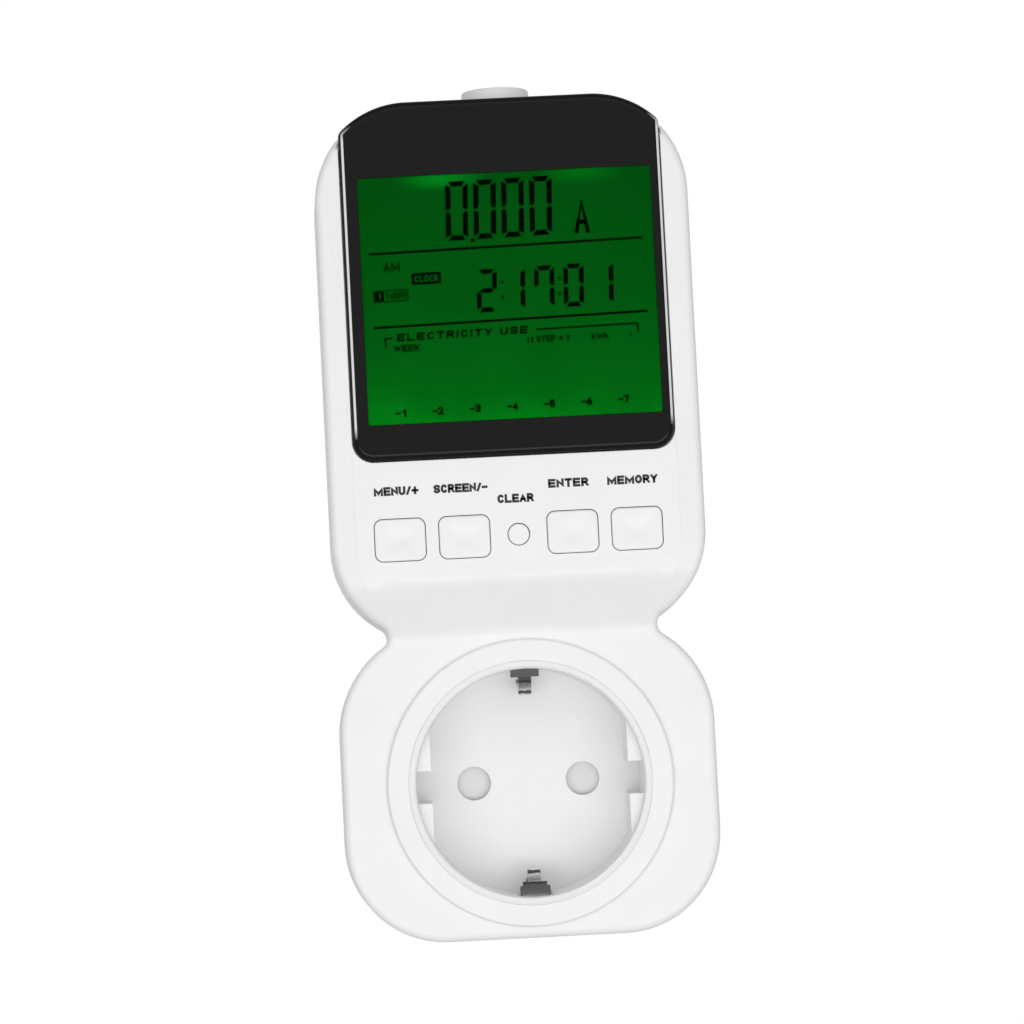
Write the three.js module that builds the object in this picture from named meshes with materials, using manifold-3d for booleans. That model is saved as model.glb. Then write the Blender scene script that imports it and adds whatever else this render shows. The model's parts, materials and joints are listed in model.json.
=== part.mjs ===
// Plug-in power meter: a socket outlet with a metering head above it, on a mains plug.
//
// Millimetres. +Z is up along the meter, +X is to the right as the user faces it, and +Y points
// into the wall. The origin is the middle of the plug's face, between the two pins, where it
// meets the bottom of a wall socket. The outlet on the front is on the same axis as the plug.

import * as THREE from 'three'
import Module from 'manifold-3d'
import { mergeVertices } from 'three/addons/utils/BufferGeometryUtils.js'

const wasm = await Module()
wasm.setup()

// ---------------------------------------------------------------- driving dimensions

const GAP = 0.3 // clearance between neighbouring pieces
const WALL = 2.2 // casing wall

// Plug and outlet: the standard European two-pole pattern with side earth contacts.
const PIN_SPACING = 19
const PIN_RADIUS = 2.4
const PIN_LENGTH = 19
const RECESS_RADIUS = 19.5
const BORE_RADIUS = 20.85 // hole in the cover that the outlet's lip fills
const RECESS_DEPTH = 17.5
const PLUG_BASE_RADIUS = 18.9
const PIN_X = PIN_SPACING / 2
const PIN_HOLE_RADIUS = 2.95

// Planes across the depth, from the wall side to the user's side.
const BACK = -18 // back of the casing, against the wall plate
const PARTING = -34 // seam between the two halves
const RIM = -56 // raised ring round the outlet
const SOCKET_FACE = RIM + 1.5
const HEAD_FACE = RIM - 5 // face of the metering head
const WINDOW_FACE = HEAD_FACE - 0.8
const RECESS_FLOOR = RIM + RECESS_DEPTH
const FLOOR_BACK = RECESS_FLOOR + 2.2

// Casing outline at the seam, seen from the front.
const HALF_WIDTH = 32.8
const LOWER_CORNER = { x: 15.5, z: -9.9, radius: HALF_WIDTH - 15.5 }
const SHOULDER = { x: 14.6, z: 8.9, radius: HALF_WIDTH - 14.6 }
const HEAD_BOTTOM = { x: 16.1, z: 42, radius: HALF_WIDTH - 16.1 }
const HEAD_TOP = { x: 15.7, z: 100.7, radius: HALF_WIDTH - 15.7 }
const NOTCH_RADIUS = 2.1
const DRAFT = 0.036 // inward lean of the walls per millimetre away from the seam
const MIDDLE_Z = 45
const HALF_LENGTH = 72.5
const SLOPE_FOOT_Z = 25 // the face steps up from the outlet to the head between these heights
const SLOPE_TOP_Z = 34.5

// Metering head.
const WINDOW_HALF_WIDTH = 27.4
const WINDOW_BOTTOM_Z = 55.7
const WINDOW_CORNER = 3.6
const WINDOW_THICKNESS = 1.8
const VIEW = { x: 0.5, z: 83, width: 50, height: 42.2 } // clear area over the display
const KEY = { width: 8.17, height: 6.72, corner: 1.1, z: 42.25 }
const KEY_COLUMNS = { value: -20.15, display: -9.2, set: 9.2, history: 20.15 }
const KEY_SLOT = 0.34
const RESET_RADIUS = 1.6
const TOP_BUTTON = { radius: 5.85, flangeRadius: 7.15, y: RIM + 8, z: 120 }
const LED_PLACES = [-10.2, 13.6] // the two lamps that light the display from its top edge
const INNER_FACE = HEAD_FACE + 2.4
const DISPLAY_BOARD = { front: INNER_FACE + 5.1, thickness: 1.6, halfWidth: 28, bottom: 36.2, top: 105.6 }
const DISPLAY_BOARD_BACK = DISPLAY_BOARD.front + DISPLAY_BOARD.thickness
const METERING_BOARD = { front: -31, thickness: 1.6, halfWidth: 26.5, bottom: 34, top: 98 }

// Fasteners: self-tapping screws into plastic bosses.
const COVER_SCREWS = [[-22.5, 110.3], [22.5, 110.3], [-23, -17.6], [23, -17.6]]
const COVER_BOSS_RADIUS = 2.7
const COVER_SHANK_RADIUS = 1.3
const COVER_HEAD_RADIUS = 2.6
const COVER_HEAD_SEAT = -26
const COVER_POST_RADIUS = 4.1
const BOARD_SHANK_RADIUS = 1
const BOARD_HEAD_RADIUS = 2
const DISPLAY_POST_RADIUS = 2.2
const METERING_POST_RADIUS = 2.4
const DISPLAY_SCREW = { x: 26, z: 52.5 }
const METERING_SCREW = { x: 23, z: 92 }

// ---------------------------------------------------------------- solids

function toSolid(geometry) {
  const bare = geometry.clone()
  bare.deleteAttribute('normal')
  bare.deleteAttribute('uv')
  const merged = mergeVertices(bare, 1e-4)
  const corners = merged.index.array
  const kept = []
  for (let i = 0; i < corners.length; i += 3) {
    const [a, b, c] = corners.subarray(i, i + 3)
    if (a !== b && b !== c && c !== a) kept.push(a, b, c)
  }
  return new wasm.Manifold(new wasm.Mesh({
    numProp: 3,
    vertProperties: new Float32Array(merged.attributes.position.array),
    triVerts: new Uint32Array(kept),
  }))
}

function toGeometry(solid) {
  const mesh = solid.getMesh()
  const geometry = new THREE.BufferGeometry()
  geometry.setAttribute('position', new THREE.BufferAttribute(mesh.vertProperties, 3))
  geometry.setIndex(new THREE.BufferAttribute(mesh.triVerts, 1))
  geometry.computeVertexNormals()
  return geometry
}

function join(first, ...others) {
  return toGeometry(others.reduce((sum, other) => sum.add(toSolid(other)), toSolid(first)))
}

function cut(block, ...tools) {
  return toGeometry(tools.reduce((rest, tool) => rest.subtract(toSolid(tool)), toSolid(block)))
}

function common(first, second) {
  return toGeometry(toSolid(first).intersect(toSolid(second)))
}

const X = new THREE.Vector3(1, 0, 0)
const Y = new THREE.Vector3(0, 1, 0)
const Z = new THREE.Vector3(0, 0, 1)

function extrude(shape, length, curveSegments = 4) {
  return new THREE.ExtrudeGeometry(shape, { depth: length, bevelEnabled: false, curveSegments })
}

// A front-view outline (x, z) given thickness from y = front to y = back.
function plate(shape, front, back, curveSegments) {
  const geometry = extrude(shape, back - front, curveSegments)
  geometry.applyMatrix4(new THREE.Matrix4().makeBasis(X, Z, Y.clone().negate()))
  return geometry.translate(0, back, 0)
}

// A side-view outline (y, z) given width from x = left to x = right.
function bar(shape, left, right, curveSegments) {
  const geometry = extrude(shape, right - left, curveSegments)
  geometry.applyMatrix4(new THREE.Matrix4().makeBasis(Y, Z, X))
  return geometry.translate(left, 0, 0)
}

function box([x0, x1], [y0, y1], [z0, z1]) {
  const geometry = new THREE.BoxGeometry(x1 - x0, y1 - y0, z1 - z0)
  return geometry.translate((x0 + x1) / 2, (y0 + y1) / 2, (z0 + z1) / 2)
}

// A round rod along Y at (x, z).
function rod(radius, [y0, y1], x = 0, z = 0, segments = 16) {
  const geometry = new THREE.CylinderGeometry(radius, radius, y1 - y0, segments)
  return geometry.translate(x, (y0 + y1) / 2, z)
}

// A turned piece on the Y axis, from [radius, y] points.
function turned(points, segments = 48) {
  return new THREE.LatheGeometry(points.map(([radius, y]) => new THREE.Vector2(radius, y)), segments)
}

function polygon(points) {
  return new THREE.Shape(points.map(([a, b]) => new THREE.Vector2(a, b)))
}

function mirrored(points) {
  return points.map(([a, b]) => [a, -b])
}

function roundedRectangle(width, height, radius, x = 0, z = 0) {
  const right = x + width / 2 - radius
  const left = x - width / 2 + radius
  const top = z + height / 2 - radius
  const bottom = z - height / 2 + radius
  const shape = new THREE.Shape()
  shape.absarc(right, top, radius, 0, Math.PI / 2)
  shape.absarc(left, top, radius, Math.PI / 2, Math.PI)
  shape.absarc(left, bottom, radius, Math.PI, 1.5 * Math.PI)
  shape.absarc(right, bottom, radius, 1.5 * Math.PI, 2 * Math.PI)
  return shape
}

// A wire or lead of round section along a list of [x, y, z] points.
function lead(points, radius, steps, sides) {
  const path = new THREE.CatmullRomCurve3(points.map((point) => new THREE.Vector3(...point)))
  const section = new THREE.Shape()
  section.absarc(0, 0, radius, 0, 2 * Math.PI)
  return new THREE.ExtrudeGeometry(section, {
    steps, extrudePath: path, bevelEnabled: false, curveSegments: sides,
  })
}

// ---------------------------------------------------------------- finishes

const FINISH = {
  whitePlastic: { color: 0xf0f0ee, roughness: 0.42, metalness: 0 },
  whiteKey: { color: 0xf1f1ef, roughness: 0.38, metalness: 0 },
  blackGloss: { color: 0x141415, roughness: 0.1, metalness: 0 },
  displayGlass: { color: 0x0b6a0b, roughness: 0.2, metalness: 0 },
  clearGuide: { color: 0x9be89b, roughness: 0.3, metalness: 0 },
  blackPlastic: { color: 0x1f1f20, roughness: 0.5, metalness: 0 },
  greenBoard: { color: 0x0f5a2d, roughness: 0.45, metalness: 0 },
  chip: { color: 0x1b1b1d, roughness: 0.55, metalness: 0 },
  steel: { color: 0xb9bcc0, roughness: 0.28, metalness: 1 },
  nickel: { color: 0xc9c7c0, roughness: 0.22, metalness: 1 },
  brass: { color: 0xc9a24c, roughness: 0.3, metalness: 1 },
  manganin: { color: 0xa8764f, roughness: 0.4, metalness: 1 },
  aluminium: { color: 0xb4b7bb, roughness: 0.35, metalness: 1 },
  greyShutter: { color: 0xcfcfcd, roughness: 0.5, metalness: 0 },
  yellowCase: { color: 0xd9b72a, roughness: 0.5, metalness: 0 },
  blueCoating: { color: 0x1f4f9c, roughness: 0.5, metalness: 0 },
  ceramic: { color: 0xe6e2d8, roughness: 0.4, metalness: 0 },
  greenSleeve: { color: 0x2f8d46, roughness: 0.4, metalness: 0 },
  brownInsulation: { color: 0x6b3d1f, roughness: 0.5, metalness: 0 },
  blueInsulation: { color: 0x2360b0, roughness: 0.5, metalness: 0 },
  greyRibbon: { color: 0x9a9a9c, roughness: 0.5, metalness: 0 },
  greyRubber: { color: 0x3a3a3c, roughness: 0.8, metalness: 0 },
}

function piece(name, geometry, finish) {
  const mesh = new THREE.Mesh(geometry, new THREE.MeshStandardMaterial(FINISH[finish]))
  mesh.name = name
  return mesh
}

// ---------------------------------------------------------------- casing outline

// Centre of the small hollow arc in the waist, touching the shoulder and head arcs from outside.
function notchCentre() {
  const a = SHOULDER.radius + NOTCH_RADIUS
  const b = HEAD_BOTTOM.radius + NOTCH_RADIUS
  const dx = HEAD_BOTTOM.x - SHOULDER.x
  const dz = HEAD_BOTTOM.z - SHOULDER.z
  const distance = Math.hypot(dx, dz)
  const along = (a * a - b * b + distance * distance) / (2 * distance)
  const across = Math.sqrt(a * a - along * along)
  return {
    x: SHOULDER.x + (along * dx + across * dz) / distance,
    z: SHOULDER.z + (along * dz - across * dx) / distance,
  }
}

// Half of the closed outline runs up the right side; the other half is its mirror image.
function housingOutline(inset) {
  const notch = notchCentre()
  const shoulderEnd = Math.atan2(notch.z - SHOULDER.z, notch.x - SHOULDER.x)
  const headStart = Math.atan2(notch.z - HEAD_BOTTOM.z, notch.x - HEAD_BOTTOM.x)
  const notchRadius = NOTCH_RADIUS + inset
  const shape = new THREE.Shape()
  const corner = ({ x, z, radius }, from, to) => shape.absarc(x, z, radius - inset, from, to)
  corner(LOWER_CORNER, -Math.PI / 2, 0)
  corner(SHOULDER, 0, shoulderEnd)
  shape.absarc(notch.x, notch.z, notchRadius, shoulderEnd + Math.PI, headStart + Math.PI, true)
  corner(HEAD_BOTTOM, headStart, 0)
  corner(HEAD_TOP, 0, Math.PI / 2)
  const left = ({ x, ...rest }) => ({ x: -x, ...rest })
  corner(left(HEAD_TOP), Math.PI / 2, Math.PI)
  corner(left(HEAD_BOTTOM), Math.PI, Math.PI - headStart)
  shape.absarc(-notch.x, notch.z, notchRadius, -headStart, -shoulderEnd, true)
  corner(left(SHOULDER), Math.PI - shoulderEnd, Math.PI)
  corner(left(LOWER_CORNER), Math.PI, 1.5 * Math.PI)
  return shape
}

// Walls lean inwards away from the seam, so that each half leaves its mould.
function drafted(geometry) {
  const position = geometry.attributes.position
  for (let i = 0; i < position.count; i += 1) {
    const lean = DRAFT * Math.abs(position.getY(i) - PARTING)
    position.setX(i, position.getX(i) * (1 - lean / HALF_WIDTH))
    position.setZ(i, MIDDLE_Z + (position.getZ(i) - MIDDLE_Z) * (1 - lean / HALF_LENGTH))
  }
  return geometry
}

// The space in front of the casing's face, moved back by depth.
function spaceInFront(depth) {
  const far = HEAD_FACE - 20
  return bar(polygon([
    [far, -60], [SOCKET_FACE + depth, -60], [SOCKET_FACE + depth, SLOPE_FOOT_Z],
    [HEAD_FACE + depth, SLOPE_TOP_Z], [HEAD_FACE + depth, 140], [far, 140],
  ]), -60, 60)
}

// ---------------------------------------------------------------- front cover

function windowOutline(inset) {
  const side = WINDOW_HALF_WIDTH - inset
  const radius = HEAD_TOP.radius - 0.8 - inset
  const bottom = WINDOW_BOTTOM_Z + inset
  const turn = Math.acos((side - HEAD_TOP.x) / radius)
  const corner = WINDOW_CORNER - inset
  const shape = new THREE.Shape()
  shape.absarc(HEAD_TOP.x, HEAD_TOP.z, radius, turn, Math.PI / 2)
  shape.absarc(-HEAD_TOP.x, HEAD_TOP.z, radius, Math.PI / 2, Math.PI - turn)
  shape.absarc(-side + corner, bottom + corner, corner, Math.PI, 1.5 * Math.PI)
  shape.absarc(side - corner, bottom + corner, corner, 1.5 * Math.PI, 2 * Math.PI)
  return shape
}

// The seat is open at the top, where the window runs over the casing's edge.
function windowSeat() {
  const height = 90
  const outline = roundedRectangle(
    2 * WINDOW_HALF_WIDTH + GAP, height, WINDOW_CORNER, 0, WINDOW_BOTTOM_Z - GAP / 2 + height / 2)
  return plate(outline, HEAD_FACE - 5, WINDOW_FACE + WINDOW_THICKNESS + GAP / 2)
}

function keyHole(x) {
  return roundedRectangle(
    KEY.width + 2 * KEY_SLOT, KEY.height + 2 * KEY_SLOT, KEY.corner + KEY_SLOT, x, KEY.z)
}

function frontCover() {
  const seam = PARTING - GAP / 2
  const outside = cut(drafted(plate(housingOutline(0), HEAD_FACE, seam)), spaceInFront(0))
  const hollow = cut(drafted(plate(housingOutline(WALL), HEAD_FACE, PARTING)), spaceInFront(WALL + 0.2))
  const ring = turned([
    [19, RIM + 3], [19, RIM], [24, RIM], [24.5, RIM + 0.6], [24.5, RIM + 3], [19, RIM + 3],
  ])
  const bosses = COVER_SCREWS.map(([x, z]) => rod(COVER_BOSS_RADIUS, [faceBehind(z), seam], x, z, 14))
  const pilots = COVER_SCREWS.map(([x, z]) => rod(COVER_SHANK_RADIUS + GAP, [-46, 0], x, z, 12))
  const posts = [-1, 1].map((side) => rod(
    DISPLAY_POST_RADIUS, [INNER_FACE - 0.5, DISPLAY_BOARD.front - GAP / 2],
    side * DISPLAY_SCREW.x, DISPLAY_SCREW.z, 12))
  const postPilots = [-1, 1].map((side) => rod(
    BOARD_SHANK_RADIUS + GAP, [INNER_FACE, 0], side * DISPLAY_SCREW.x, DISPLAY_SCREW.z, 10))
  const shell = join(cut(outside, hollow), ring, ...bosses, ...posts)
  return cut(
    shell, ...pilots, ...postPilots,
    rod(BORE_RADIUS, [RIM - 1, RIM + 5], 0, 0, 48),
    windowSeat(),
    box([VIEW.x - 25.6, VIEW.x + 25.6], [HEAD_FACE - 5, INNER_FACE + 1], [VIEW.z - 21.7, VIEW.z + 21.7]),
    ...Object.values(KEY_COLUMNS).map((x) => plate(keyHole(x), HEAD_FACE - 5, INNER_FACE + 1, 2)),
    rod(RESET_RADIUS + KEY_SLOT, [HEAD_FACE - 5, INNER_FACE + 1], 0, KEY.z, 20),
    topButtonHole(),
  )
}

// Where a boss starts, just inside the face.
function faceBehind(z) {
  return (z > SLOPE_TOP_Z ? HEAD_FACE : SOCKET_FACE) + 1
}

function alongZ(radius, [z0, z1], segments = 24) {
  const geometry = new THREE.CylinderGeometry(radius, radius, z1 - z0, segments).rotateX(Math.PI / 2)
  return geometry.translate(0, TOP_BUTTON.y, (z0 + z1) / 2)
}

function topButtonHole() {
  return alongZ(TOP_BUTTON.radius + GAP, [112, 125], 32)
}

// ---------------------------------------------------------------- display

function displayWindow() {
  const back = WINDOW_FACE + WINDOW_THICKNESS
  const bevel = 0.9
  const face = new THREE.ExtrudeGeometry(windowOutline(bevel), {
    depth: WINDOW_THICKNESS - bevel,
    bevelThickness: bevel,
    bevelSize: bevel,
    bevelSegments: 2,
    curveSegments: 5,
  })
  face.applyMatrix4(new THREE.Matrix4().makeBasis(X, Z, Y.clone().negate()))
  face.translate(0, back, 0)
  return common(face, box([-60, 60], [WINDOW_FACE - 1, back], [0, 140]))
}

// A rectangular slab behind the clear area, larger than it by so much on each side.
function viewSlab(extraWidth, extraHeight, y) {
  const halfWidth = VIEW.width / 2 + extraWidth
  const halfHeight = VIEW.height / 2 + extraHeight
  return box(
    [VIEW.x - halfWidth, VIEW.x + halfWidth], y, [VIEW.z - halfHeight, VIEW.z + halfHeight])
}

function displayStack() {
  const glass = [INNER_FACE + 0.3, INNER_FACE + 2.6]
  const guide = [INNER_FACE + 2.8, DISPLAY_BOARD.front - 0.15]
  const ledNotch = (x) => box([x - 2, x + 2], [guide[0] - 1, guide[1] + 1], [102.6, 106])
  const led = (x) => box([x - 1.6, x + 1.6], [guide[0] + 0.2, guide[1]], [102.9, 104.6])
  const frame = cut(
    viewSlab(2.4, 2.6, [INNER_FACE + 0.6, DISPLAY_BOARD.front - 0.15]),
    viewSlab(1.5, 1.7, [INNER_FACE, DISPLAY_BOARD.front + 1]))
  const stripZ = VIEW.z - VIEW.height / 2 - 0.8
  return [
    piece('display_window', displayWindow(), 'blackGloss'),
    piece('lcd_glass', viewSlab(1.2, 1.4, glass), 'displayGlass'),
    piece('backlight_guide', cut(
      viewSlab(0.6, 0.5, guide), ...LED_PLACES.map(ledNotch)), 'clearGuide'),
    piece('backlight_led_left', led(LED_PLACES[0]), 'ceramic'),
    piece('backlight_led_right', led(LED_PLACES[1]), 'ceramic'),
    piece('lcd_frame', frame, 'blackPlastic'),
    piece('zebra_strip', box([-20, 21], guide, [stripZ - 0.5, stripZ + 0.1]), 'greyRubber'),
  ]
}

// ---------------------------------------------------------------- keys and switches

function keyCap(x) {
  const flangeFront = INNER_FACE + GAP
  const outline = roundedRectangle(KEY.width, KEY.height, KEY.corner, x, KEY.z)
  const cap = plate(outline, HEAD_FACE - 0.25, flangeFront, 2)
  const flange = plate(roundedRectangle(
    KEY.width + 1.7, KEY.height + 1.7, KEY.corner, x, KEY.z), flangeFront - 0.01, flangeFront + 0.8, 1)
  return join(cap, flange, keyStem(x))
}

function keyStem(x) {
  return rod(1.4, [INNER_FACE + 1, DISPLAY_BOARD.front - 2.7], x, KEY.z, 12)
}

function resetCap() {
  const flangeFront = INNER_FACE + GAP
  return join(
    rod(RESET_RADIUS, [HEAD_FACE + 0.1, flangeFront], 0, KEY.z, 20),
    rod(2.8, [flangeFront - 0.01, flangeFront + 0.8], 0, KEY.z, 20),
    keyStem(0))
}

// A tactile switch on the display board, with the well its plunger moves in.
function tactSwitch(x) {
  const face = DISPLAY_BOARD.front
  return cut(
    box([x - 3, x + 3], [face - 3, face - 0.15], [KEY.z - 3, KEY.z + 3]),
    rod(1.7, [face - 4, face - 0.9], x, KEY.z, 12))
}

function keys() {
  return Object.entries(KEY_COLUMNS).flatMap(([name, x]) => [
    piece(`${name}_key`, keyCap(x), 'whiteKey'),
    piece(`${name}_switch`, tactSwitch(x), 'blackPlastic'),
  ]).concat([
    piece('reset_key', resetCap(), 'whiteKey'),
    piece('reset_switch', tactSwitch(0), 'blackPlastic'),
  ])
}

function topButton() {
  const wallInside = 114.4
  return [
    piece('top_button', join(
      alongZ(TOP_BUTTON.radius, [wallInside - 1, TOP_BUTTON.z], 32),
      alongZ(TOP_BUTTON.flangeRadius, [wallInside - 1.2, wallInside - 0.3], 32),
      alongZ(1.4, [108.4, wallInside - 0.5], 12)), 'whiteKey'),
    piece('top_switch', cut(
      box([-3.5, 3.5], [DISPLAY_BOARD_BACK + 0.15, TOP_BUTTON.y + 4], [103.8, 108.7]),
      alongZ(1.7, [106, 110], 12)), 'blackPlastic'),
  ]
}

// ---------------------------------------------------------------- boards

function board({ front, thickness, halfWidth, bottom, top }, screw) {
  const slab = box([-halfWidth, halfWidth], [front, front + thickness], [bottom, top])
  const holes = [-1, 1].map((side) => rod(
    BOARD_SHANK_RADIUS + GAP, [front - 1, front + thickness + 1], side * screw.x, screw.z, 10))
  return cut(slab, ...holes)
}

// The head sits at y = seat and the shank runs in the direction of sign.
function boardScrew(x, z, seat, sign, length) {
  const span = (from, to) => [Math.min(from, to), Math.max(from, to)]
  return join(
    rod(BOARD_HEAD_RADIUS, span(seat, seat - sign * 1.4), x, z, 12),
    rod(BOARD_SHANK_RADIUS, span(seat - sign * 0.1, seat + sign * length), x, z, 8))
}

function displayBoard() {
  const back = DISPLAY_BOARD_BACK + 0.15
  const crystal = new THREE.CylinderGeometry(1, 1, 6, 12).rotateX(Math.PI / 2)
  const battery = new THREE.CylinderGeometry(5.6, 5.6, 16.5, 24).rotateZ(Math.PI / 2)
  const screw = (side) => boardScrew(side * DISPLAY_SCREW.x, DISPLAY_SCREW.z, back, -1, 4.8)
  return [
    piece('display_board', board(DISPLAY_BOARD, DISPLAY_SCREW), 'greenBoard'),
    piece('display_board_screw_left', screw(-1), 'steel'),
    piece('display_board_screw_right', screw(1), 'steel'),
    piece('controller_chip', box([-7, 7], [back, back + 1.8], [70, 84]), 'chip'),
    piece('timing_crystal', crystal.translate(13, back + 1, 66), 'aluminium'),
    piece('backup_battery', battery.translate(-15, back + 5.6, 96), 'greenSleeve'),
  ]
}

function meteringBoard() {
  const front = METERING_BOARD.front - 0.15
  const disc = new THREE.CylinderGeometry(5.5, 5.5, 4, 24).rotateZ(Math.PI / 2)
  const screw = (side) => boardScrew(side * METERING_SCREW.x, METERING_SCREW.z, front, 1, 8)
  return [
    piece('metering_board', board(METERING_BOARD, METERING_SCREW), 'greenBoard'),
    piece('metering_board_screw_left', screw(-1), 'steel'),
    piece('metering_board_screw_right', screw(1), 'steel'),
    piece('suppression_capacitor', box([-22, -4], [front - 13, front], [68, 77]), 'yellowCase'),
    piece('smoothing_capacitor', rod(5, [front - 12, front], 13, 76, 24), 'chip'),
    piece('surge_absorber', disc.translate(-14, front - 5.6, 56), 'blueCoating'),
    piece('metering_chip', box([-5, 5], [front - 1.8, front], [54, 61]), 'chip'),
    piece('fuse', fuse(18, front - 3, 44, 64), 'ceramic'),
    piece('current_shunt', shunt(front), 'manganin'),
  ]
}

function fuse(x, y, low, high) {
  const stretch = (radius, from, to) => new THREE.CylinderGeometry(radius, radius, to - from, 16)
    .rotateX(Math.PI / 2).translate(x, y, (from + to) / 2)
  return join(stretch(2.4, low, high), stretch(2.7, low, low + 5), stretch(2.7, high - 5, high))
}

// A bridge of resistance strip standing on the board.
function shunt(foot) {
  const thick = 0.8
  const height = 5
  const outline = polygon([
    [foot, 36], [foot - height, 36], [foot - height, 48], [foot, 48],
    [foot, 48 - thick], [foot - height + thick, 48 - thick], [foot - height + thick, 36 + thick],
    [foot, 36 + thick],
  ])
  return bar(outline, -4, 2)
}

// A flat cable that sags from one board to the other.
function ribbonCable() {
  const start = DISPLAY_BOARD_BACK + 0.2
  const end = METERING_BOARD.front - 0.2
  const steps = 10
  const halfThickness = 0.3
  const height = (t) => 90 + 4 * Math.cos(Math.PI * t)
  const place = (i) => start + (end - start) * i / steps
  const indices = [...Array(steps + 1).keys()]
  const upper = indices.map((i) => [place(i), height(i / steps) + halfThickness])
  const lower = indices.map((i) => [place(i), height(i / steps) - halfThickness]).reverse()
  return bar(polygon([...upper, ...lower]), 3, 15)
}

// ---------------------------------------------------------------- outlet

function socketCup() {
  const lip = BORE_RADIUS - GAP
  const guide = (z0, z1) => [-1, 1].map((side) => common(
    box(side < 0 ? [-20, -16.9] : [16.9, 20], [RIM + 2.5, RECESS_FLOOR + 1], [z0, z1]),
    rod(20, [RIM, FLOOR_BACK], 0, 0, 48)))
  const cup = turned([
    [0, RECESS_FLOOR], [RECESS_RADIUS, RECESS_FLOOR], [RECESS_RADIUS, RIM + 0.3],
    [RECESS_RADIUS + 0.3, RIM - 0.1], [lip - 0.2, RIM - 0.1], [lip, RIM + 0.2], [lip, RIM + 4.3],
    [22.6, RIM + 4.3], [22.6, RIM + 6.5], [21.2, RIM + 6.5], [21.2, FLOOR_BACK], [0, FLOOR_BACK],
  ])
  const clipSlots = [-1, 1].flatMap((side) => {
    const reach = (from, to) => (side > 0 ? [from, to] : [-to, -from])
    return [
      box([-3, 3], [RIM + 2.6, RECESS_FLOOR - 0.5], reach(18.2, 23.5)),
      box([-1.7, 1.7], [RECESS_FLOOR - 2, FLOOR_BACK + 1], reach(16.2, 18.6)),
    ]
  })
  const blocks = [...guide(2.8, 9.7), ...guide(-9.7, -2.8)]
  return cut(
    join(cup, ...blocks), ...clipSlots,
    ...[-PIN_X, PIN_X].map((x) => rod(PIN_HOLE_RADIUS, [RECESS_FLOOR - 1, FLOOR_BACK + 1], x, 0, 24)))
}

const SHUTTER_FRONT = FLOOR_BACK + GAP
const SHUTTER_BACK = SHUTTER_FRONT + 1.4
const CARRIER_FRONT = SHUTTER_BACK + GAP
const CARRIER_BACK = CARRIER_FRONT + 1.2

// A turning plate with two wings that stand behind the pin holes until both pins push in.
function shutter() {
  const wing = THREE.MathUtils.degToRad(20)
  const outline = new THREE.Shape()
  outline.absarc(0, 0, 13, -wing, wing)
  outline.absarc(0, 0, 4.2, wing, Math.PI - wing)
  outline.absarc(0, 0, 13, Math.PI - wing, Math.PI + wing)
  outline.absarc(0, 0, 4.2, Math.PI + wing, 2 * Math.PI - wing)
  return join(
    plate(outline, SHUTTER_FRONT, SHUTTER_BACK, 6),
    rod(1.5, [SHUTTER_BACK - 0.1, CARRIER_BACK + 2.1], 0, 0, 12))
}

function shutterCarrier() {
  return cut(
    rod(15, [CARRIER_FRONT, CARRIER_BACK], 0, 0, 32),
    rod(1.8, [CARRIER_FRONT - 1, CARRIER_BACK + 1], 0, 0, 12),
    ...[-PIN_X, PIN_X].map((x) => rod(3.1, [CARRIER_FRONT - 1, CARRIER_BACK + 1], x, 0, 16)))
}

// Two turns of wire round the shutter's shaft.
function shutterSpring() {
  const turns = 2
  const steps = 24
  const wireRadius = 0.22
  const points = [...Array(steps + 1).keys()].map((i) => {
    const angle = 2 * Math.PI * turns * i / steps
    return [2.1 * Math.cos(angle), CARRIER_BACK + 0.45 + 1.2 * i / steps, 2.1 * Math.sin(angle)]
  })
  return lead(points, wireRadius, 24, 3)
}

const CONTACT_FRONT = CARRIER_BACK + GAP
const CONTACT_BACK = CONTACT_FRONT + 12

// A split sleeve that grips a pin, with a tongue towards the plug pin behind it.
function pinContact(x) {
  const slit = 0.4
  const outer = 3.2
  const inner = 2.55
  const innerSide = -Math.sign(x)
  const outline = new THREE.Shape()
  const from = x > 0 ? slit : slit - Math.PI
  const to = from + 2 * (Math.PI - slit)
  outline.absarc(x, 0, outer, from, to)
  outline.absarc(x, 0, inner, to, from, true)
  return join(
    plate(outline, CONTACT_FRONT, CONTACT_BACK, 10),
    box([x + innerSide * 2.85 - 0.25, x + innerSide * 2.85 + 0.25], [CONTACT_BACK - 4, CONTACT_BACK + 3],
      [-1.2, 1.2]))
}

const PLUG_EARTH_FRONT = BACK - WALL - 2.9
const CLIP_HINGE_Y = RECESS_FLOOR
const CLIP_ROOT = { y: FLOOR_BACK + 1.2, z: 17.3 }

// A leaf spring: a wide head at the mouth, a narrow neck that bows into the recess, and a root
// that passes through the floor.
function earthClip(side) {
  const thick = 0.5
  const head = [[RIM + 5.2, 19.2], [RIM + 7, 17.6]]
  const neck = [head[1], [RIM + 10, 15.3], [RIM + 12, 15.2], [CLIP_HINGE_Y - 0.6, CLIP_ROOT.z],
    [CLIP_ROOT.y, CLIP_ROOT.z]]
  const leaf = (line, halfWidth) => {
    const outline = [...line.map(([y, z]) => [y, z + thick]), ...line.slice().reverse()]
    return bar(polygon(side > 0 ? outline : mirrored(outline).reverse()), -halfWidth, halfWidth)
  }
  return join(leaf(head, 2.6), leaf(neck, 1.25))
}

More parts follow.
